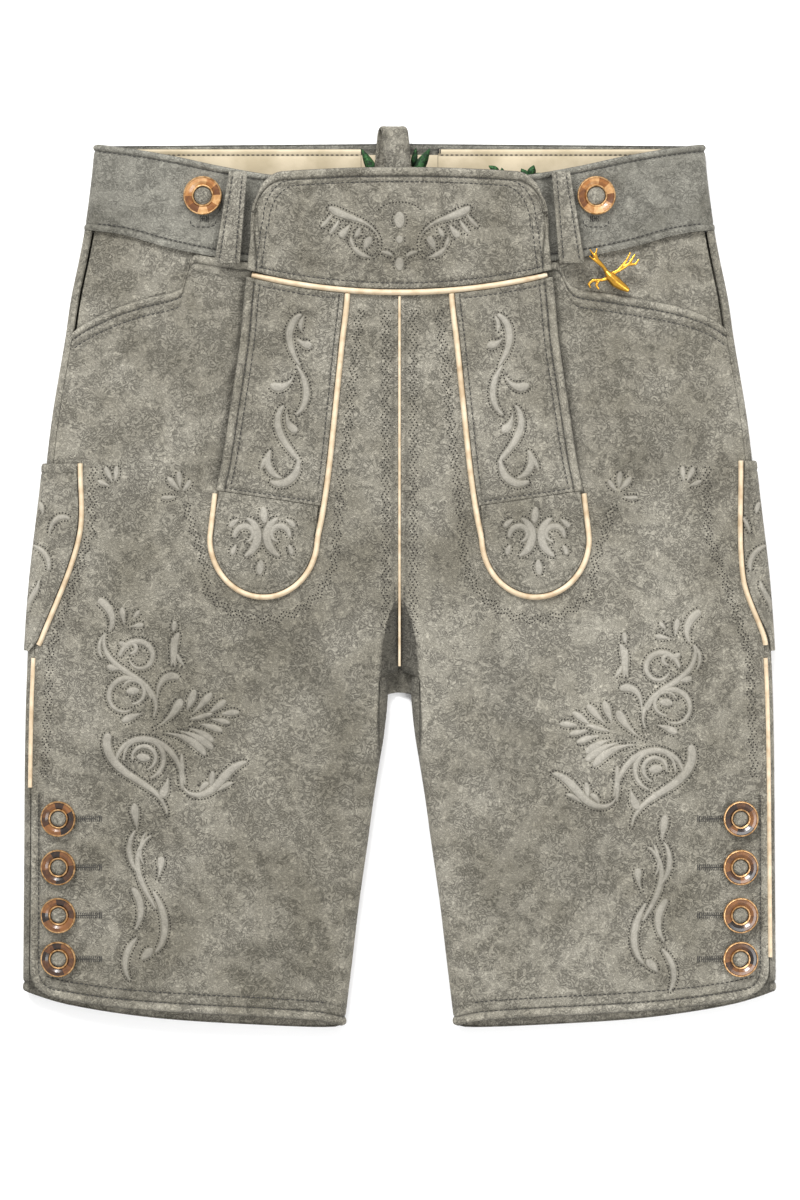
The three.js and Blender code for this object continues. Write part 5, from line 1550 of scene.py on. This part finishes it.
# Buds on the centre line of the flap: height of the foot, length and width.
FLAP_BUDS = table("y long wide", (240.6, 12, 6.2), (211.5, 9.5, 5.2), (230.2, 6, 4.2))
VINE_STROKES = table(
    "x y aim long bend curl wide bulb",
    (66.8, 182.0, 338, 42, -72, -28, 4.0, 0.38),
    (71.8, 147.5, 236, 40, 30, 62, 3.6, 0.55),
    (72.2, 166.4, 230, 14, -20, -52, 4.4, 0.76),
    (65.8, 181.2, 296, 12, -12, -50, 2.6, 0.6),
    (72.8, 140.8, 286, 22, 48, 76, 5.0, 0.76),
    (79.2, 119.4, 320, 48, -76, -8, 4.0, 0.45),
    (71.0, 86.0, 252, 36, 60, 86, 4.6, 0.62),
    (78.0, 116.5, 274, 19, -26, -62, 4.8, 0.8),
    (80.5, 68.5, 6, 26, 62, 60, 4.0, 0.55),
    (96.5, 74.0, 118, 11, 0, 8, 3.2, 0.66),
)
TONGUE_MIDDLE = 95.0
TONGUE_STROKES = table(
    "x y aim long bend curl wide bulb",
    (83.5, 41.0, 338, 34, -72, -62, 5.0, 0.5),
    (76.0, 26.5, 98, 30, -120, -170, 3.4, 0.4),
    (79.0, 40.0, 206, 9, 14, 24, 3.2, 0.6),
    (77.0, 22.5, 236, 8, 14, 24, 3.0, 0.6),
)
TONGUE_BUDS = table("x y aim long wide", (93.2, 37.0, 84, 12, 4.4), (95.8, 12.0, 276, 11, 4.2))


def stroke_line(x, y, aim, long, bend, curl, count=26):
    """Centre line of a stroke whose turning changes evenly along it, and its aim at each point."""
    u = np.linspace(0, 1, count)
    turn = np.radians(aim + (3 * bend - curl) * u + 2 * (curl - bend) * u ** 2)
    step = long / (count - 1)
    middle = (turn[1:] + turn[:-1]) / 2
    xs = x + np.concatenate([[0], np.cumsum(np.cos(middle))]) * step
    ys = y + np.concatenate([[0], np.cumsum(np.sin(middle))]) * step
    return np.stack([xs, ys], axis=1), np.stack([np.cos(turn), np.sin(turn)], axis=1)


def stroke_widths(count, wide, bulb):
    u = np.linspace(0, 1, count)
    power = math.log(0.5) / math.log(bulb)
    return wide * np.maximum(np.sin(np.pi * u ** power), 0.0) ** 0.55 / 2


def mirrored(rows, middle):
    """The same strokes on the other side of a line of symmetry."""
    other = {name: column.copy() for name, column in rows.items()}
    other["x"], other["aim"] = 2 * middle - rows["x"], 180 - rows["aim"]
    other["bend"], other["curl"] = -rows["bend"], -rows["curl"]
    return other


class Ornament:
    """Strokes and dots gathered for one area of the garment, laid on its surface."""

    def __init__(self, surface):
        self.surface, self.corners, self.faces = surface, [], []
        self.lines, self.outlines = [], []

    def stroke(self, side, x, y, aim, long, bend, curl, wide, bulb):
        line, ahead = stroke_line(x, y, aim, long, bend, curl)
        half = stroke_widths(len(line), wide * FULLNESS, bulb)
        line, ahead = line * (side, 1), ahead * (side, 1)
        across = np.stack([-ahead[:, 1], ahead[:, 0]], axis=1)
        self.lines.append((line, half))
        out = across * (half[:, None] + DOT_CLEAR)
        self.outlines.append(np.concatenate([line + out, (line - out)[::-1], (line + out)[:1]]))
        shares = np.linspace(-1, 1, 7)
        start = len(self.corners)
        for place, beside, width in zip(line, across, half):
            rise = STROKE_RISE * min(width / 1.6, 1.0)
            for share in shares:
                x, y = place + beside * width * share
                spot, normal = land(self.surface, x, y)
                self.corners.append(spot + normal * (rise * (1 - share * share) - 0.12))
            spot, normal = land(self.surface, *place)
            self.corners.append(spot - normal * 0.5)
        ring = len(shares) + 1
        for k in range(len(line) - 1):
            for c in range(ring):
                a, b = start + k * ring + c, start + k * ring + (c + 1) % ring
                face = (a, b, b + ring, a + ring)
                self.faces.append(face if side == LEFT else (a, *face[:0:-1]))

    def strokes(self, side, rows):
        for row in zip(*rows.values()):
            self.stroke(side, *row)

    def prick(self, line):
        """A row of dots along a line of its own."""
        self.outlines.append(np.asarray(line))

    def covers(self, here):
        """Whether a place lies under one of the strokes."""
        for line, half in self.lines:
            if np.any(np.linalg.norm(line - here, axis=1) < half + 0.25):
                return True
        return False

    def finish(self, name, material, dot_material):
        mesh = bpy.data.meshes.new(name)
        mesh.from_pydata(np.array([corner[:] for corner in self.corners]) * MM, [], self.faces)
        piece = bpy.data.objects.new(name, mesh)
        bpy.context.collection.objects.link(piece)
        seal(piece, 0.02)
        mesh.shade_smooth()
        mesh.materials.append(material)
        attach(piece, "root")
        spots, kept = [], np.zeros((0, 2))
        for outline in self.outlines:
            for (x, y), aim in zip(*even_walk(outline, DOT_PITCH)):
                here = np.array((x, y))
                crowded = np.any(np.linalg.norm(kept - here, axis=1) < DOT_PITCH * 0.72)
                if crowded or self.covers(here):
                    continue
                place, normal = drop(self.surface, x, y)
                if place is None:
                    continue
                kept = np.vstack([kept, here])
                spots.append((place + normal * 0.04, (*aim, 0.0), normal, (DOT, DOT, 0.22)))
        dots = scatter(f"{name}_dots", dot_corners, dot_faces, spots, dot_material)


dot_turns = np.radians(np.arange(6) * 60)
dot_corners = np.array(
    [(0, 0, 0.5)] + [(math.cos(turn) / 2, math.sin(turn) / 2, 0.2) for turn in dot_turns] + [(0, 0, -0.5)]
)
dot_faces = [(0, 1 + k, 1 + (k + 1) % 6) for k in range(6)]
dot_faces += [(7, 1 + (k + 1) % 6, 1 + k) for k in range(6)]


def pricked_hole(name):
    """Pricked holes: the shade inside each painted on a small disc, nearly black and quite dull."""
    material, tree = new_material(name)
    place = add(tree, "TexCoord").outputs["Object"]
    tone = add(tree, "TexNoise", {"Scale": 90.0, "Detail": 2.0}, {"Vector": place})
    colour = ramp(tree, tone.outputs["Fac"], (0.35, "#1d1b17"), (0.65, "#33302a"))
    finish_material(tree, add(tree, "BsdfPrincipled", {"Roughness": 0.95}, {"Base Color": colour}))
    return material


# The same leather, pressed over a die while damp: raised, smoother and a little paler.
pressed_suede = sueded_leather("pressed_sueded_leather", ("#7b776d", "#8c887e", "#98948a"), wrinkle=0.3)
# Nearly black discs that stand for the shade inside each pricked hole.
hole_shade_dots = pricked_hole("painted_shade_pricked_holes")


def zigzag(line, period, swing):
    """A line that swings evenly from side to side of another."""
    places, aims = even_walk(line, period / 8)
    turn = np.arange(len(places)) * 2 * np.pi / 8
    across = np.stack([-aims[:, 1], aims[:, 0]], axis=1)
    wave = np.arcsin(np.sin(turn) * 0.98) / (np.pi / 2)
    return places + across * (wave * swing)[:, None], across


# The left leg's ornament was pressed a little lower than the right's.
THIGH_DROP = {RIGHT: 0.0, LEFT: 8.0}
# Borders of pricked dots, two lines of zigzag: round the flap's strips, beside the centre seam, and
# from the side patch down.
BORDER_PERIOD, BORDER_SWING, BORDER_APART = 11.0, 1.9, 3.0
BORDER_OFF_STRIP, BORDER_OFF_TONGUE, BORDER_CENTRE = 10, 11, 9.5
BORDER_TOP, BORDER_END, PATCH_BORDER_TOP, PATCH_BORDER_LOW = 186, -40, 78, -52
for name, side in SIDES.items():
    on_leg = surface_of(f"leg_front_{name}", f"flap_strip_{name}", f"flap_tongue_{name}")
    thigh = Ornament(on_leg)
    lowered = {**THIGH_STROKES, "y": THIGH_STROKES["y"] - THIGH_DROP[side]}
    thigh.strokes(side, lowered)
    thigh.strokes(side, SPRIG_STROKES)
    down = np.linspace(BORDER_TOP, 62, 30)
    beside_strip = [(float(strip_line_at(y)) - BORDER_OFF_STRIP, y) for y in down]
    reach = TONGUE_HALF + BORDER_OFF_TONGUE
    round_tongue = [
        (TONGUE_X + reach * math.cos(turn), TONGUE_Y - 4 + (reach + 2) * math.sin(turn))
        for turn in np.radians(np.linspace(186, 322, 40))
    ]
    up_outside = [(mix(134, 149, t), mix(6, 52, t)) for t in np.linspace(0.1, 1, 12)]
    beside_centre = [(BORDER_CENTRE, y) for y in np.linspace(BORDER_TOP, BORDER_END, 50)]
    beside_patch = [
        (mix(213, 216, t) if t < 0.4 else mix(216, 243, (t - 0.4) / 0.6),
         mix(PATCH_BORDER_TOP, PATCH_BORDER_LOW, t))
        for t in np.linspace(0, 1, 40)
    ]
    down_side = [(mix(243, 246.5, t), mix(PATCH_BORDER_LOW, -140, t)) for t in np.linspace(0, 1, 30)]
    for line in (beside_strip + round_tongue + up_outside, beside_centre, beside_patch + down_side):
        wavy, across = zigzag(np.array(line) * (side, 1), BORDER_PERIOD, BORDER_SWING)
        for apart in (-0.5, 0.5):
            thigh.prick(wavy + across * apart * BORDER_APART)
    thigh.finish(f"leg_ornament_{name}", pressed_suede, hole_shade_dots)

    vine = Ornament(surface_of(f"flap_strip_{name}", f"flap_tongue_{name}"))
    vine.strokes(side, VINE_STROKES)
    for rows in (TONGUE_STROKES, mirrored(TONGUE_STROKES, TONGUE_MIDDLE)):
        vine.strokes(side, rows)
    for x, y, aim, long, wide in zip(*TONGUE_BUDS.values()):
        vine.stroke(side, x, y, aim, long, 0, 0, wide, 0.5)
    vine.finish(f"flap_ornament_{name}", pressed_suede, hole_shade_dots)

    scroll = Ornament(surface_of(f"patch_{name}"))
    scroll.strokes(side, PATCH_STROKES)
    scroll.finish(f"patch_ornament_{name}", pressed_suede, hole_shade_dots)

wings = Ornament(on_flap)
for side in SIDES.values():
    wings.strokes(side, FLAP_STROKES)
for y, long, wide in zip(*FLAP_BUDS.values()):
    wings.stroke(LEFT, 0, y, 90, long, 0, 0, wide, 0.5)
crest = np.radians(np.linspace(20, 160, 40))
wings.prick([(16 * math.cos(turn), 250 + 9 * math.sin(turn)) for turn in crest])
wings.finish("flap_panel_ornament", pressed_suede, hole_shade_dots)

# Studio: a white table, a camera straight above, and two soft lights. The stronger one stands past
# the waist, on the wearer's right.
PAPER_HALF, ROOM_LIGHT = 3.0, 0.72
bpy.ops.object.select_all(action="DESELECT")
bpy.ops.mesh.primitive_plane_add(size=2 * PAPER_HALF)
paper = bpy.context.object
paper.name = "table_top"
# matt white paper
white_paper, tree = new_material("white_paper")
finish_material(tree, add(tree, "BsdfPrincipled", {"Base Color": (1, 1, 1, 1), "Roughness": 0.9}))
paper.data.materials.append(white_paper)


def softbox(name, place, aim, size, power):
    light = bpy.data.lights.new(name, "AREA")
    light.shape = "RECTANGLE"
    light.size, light.size_y = size
    light.energy = power
    lamp = bpy.data.objects.new(name, light)
    lamp.location = place
    lamp.rotation_euler = (Vector(aim) - Vector(place)).to_track_quat("-Z", "Y").to_euler()
    bpy.context.collection.objects.link(lamp)


softbox("key_light", (-1.1, 3.2, 2.9), (0, 0, 0), (1.8, 1.4), 225)
softbox("fill_light", (1.6, -0.9, 2.6), (0, 0, 0), (1.8, 1.8), 52)
world = bpy.data.worlds.new("white_room")
bpy.context.scene.world = world
world.use_nodes = True
background = world.node_tree.nodes["Background"]
background.inputs["Color"].default_value = (1, 1, 1, 1)
background.inputs["Strength"].default_value = ROOM_LIGHT
bpy.context.scene.view_settings.view_transform = "Standard"

CAMERA_HEIGHT, LENS, VIEW_MIDDLE = 2.333, 100.0, (0.00035, -0.01575)
camera = bpy.data.cameras.new("camera")
camera.lens = LENS
camera.sensor_width = 36.0
camera.sensor_fit = "AUTO"
eye = bpy.data.objects.new("camera", camera)
eye.location = (*VIEW_MIDDLE, CAMERA_HEIGHT)
bpy.context.collection.objects.link(eye)
bpy.context.scene.camera = eye
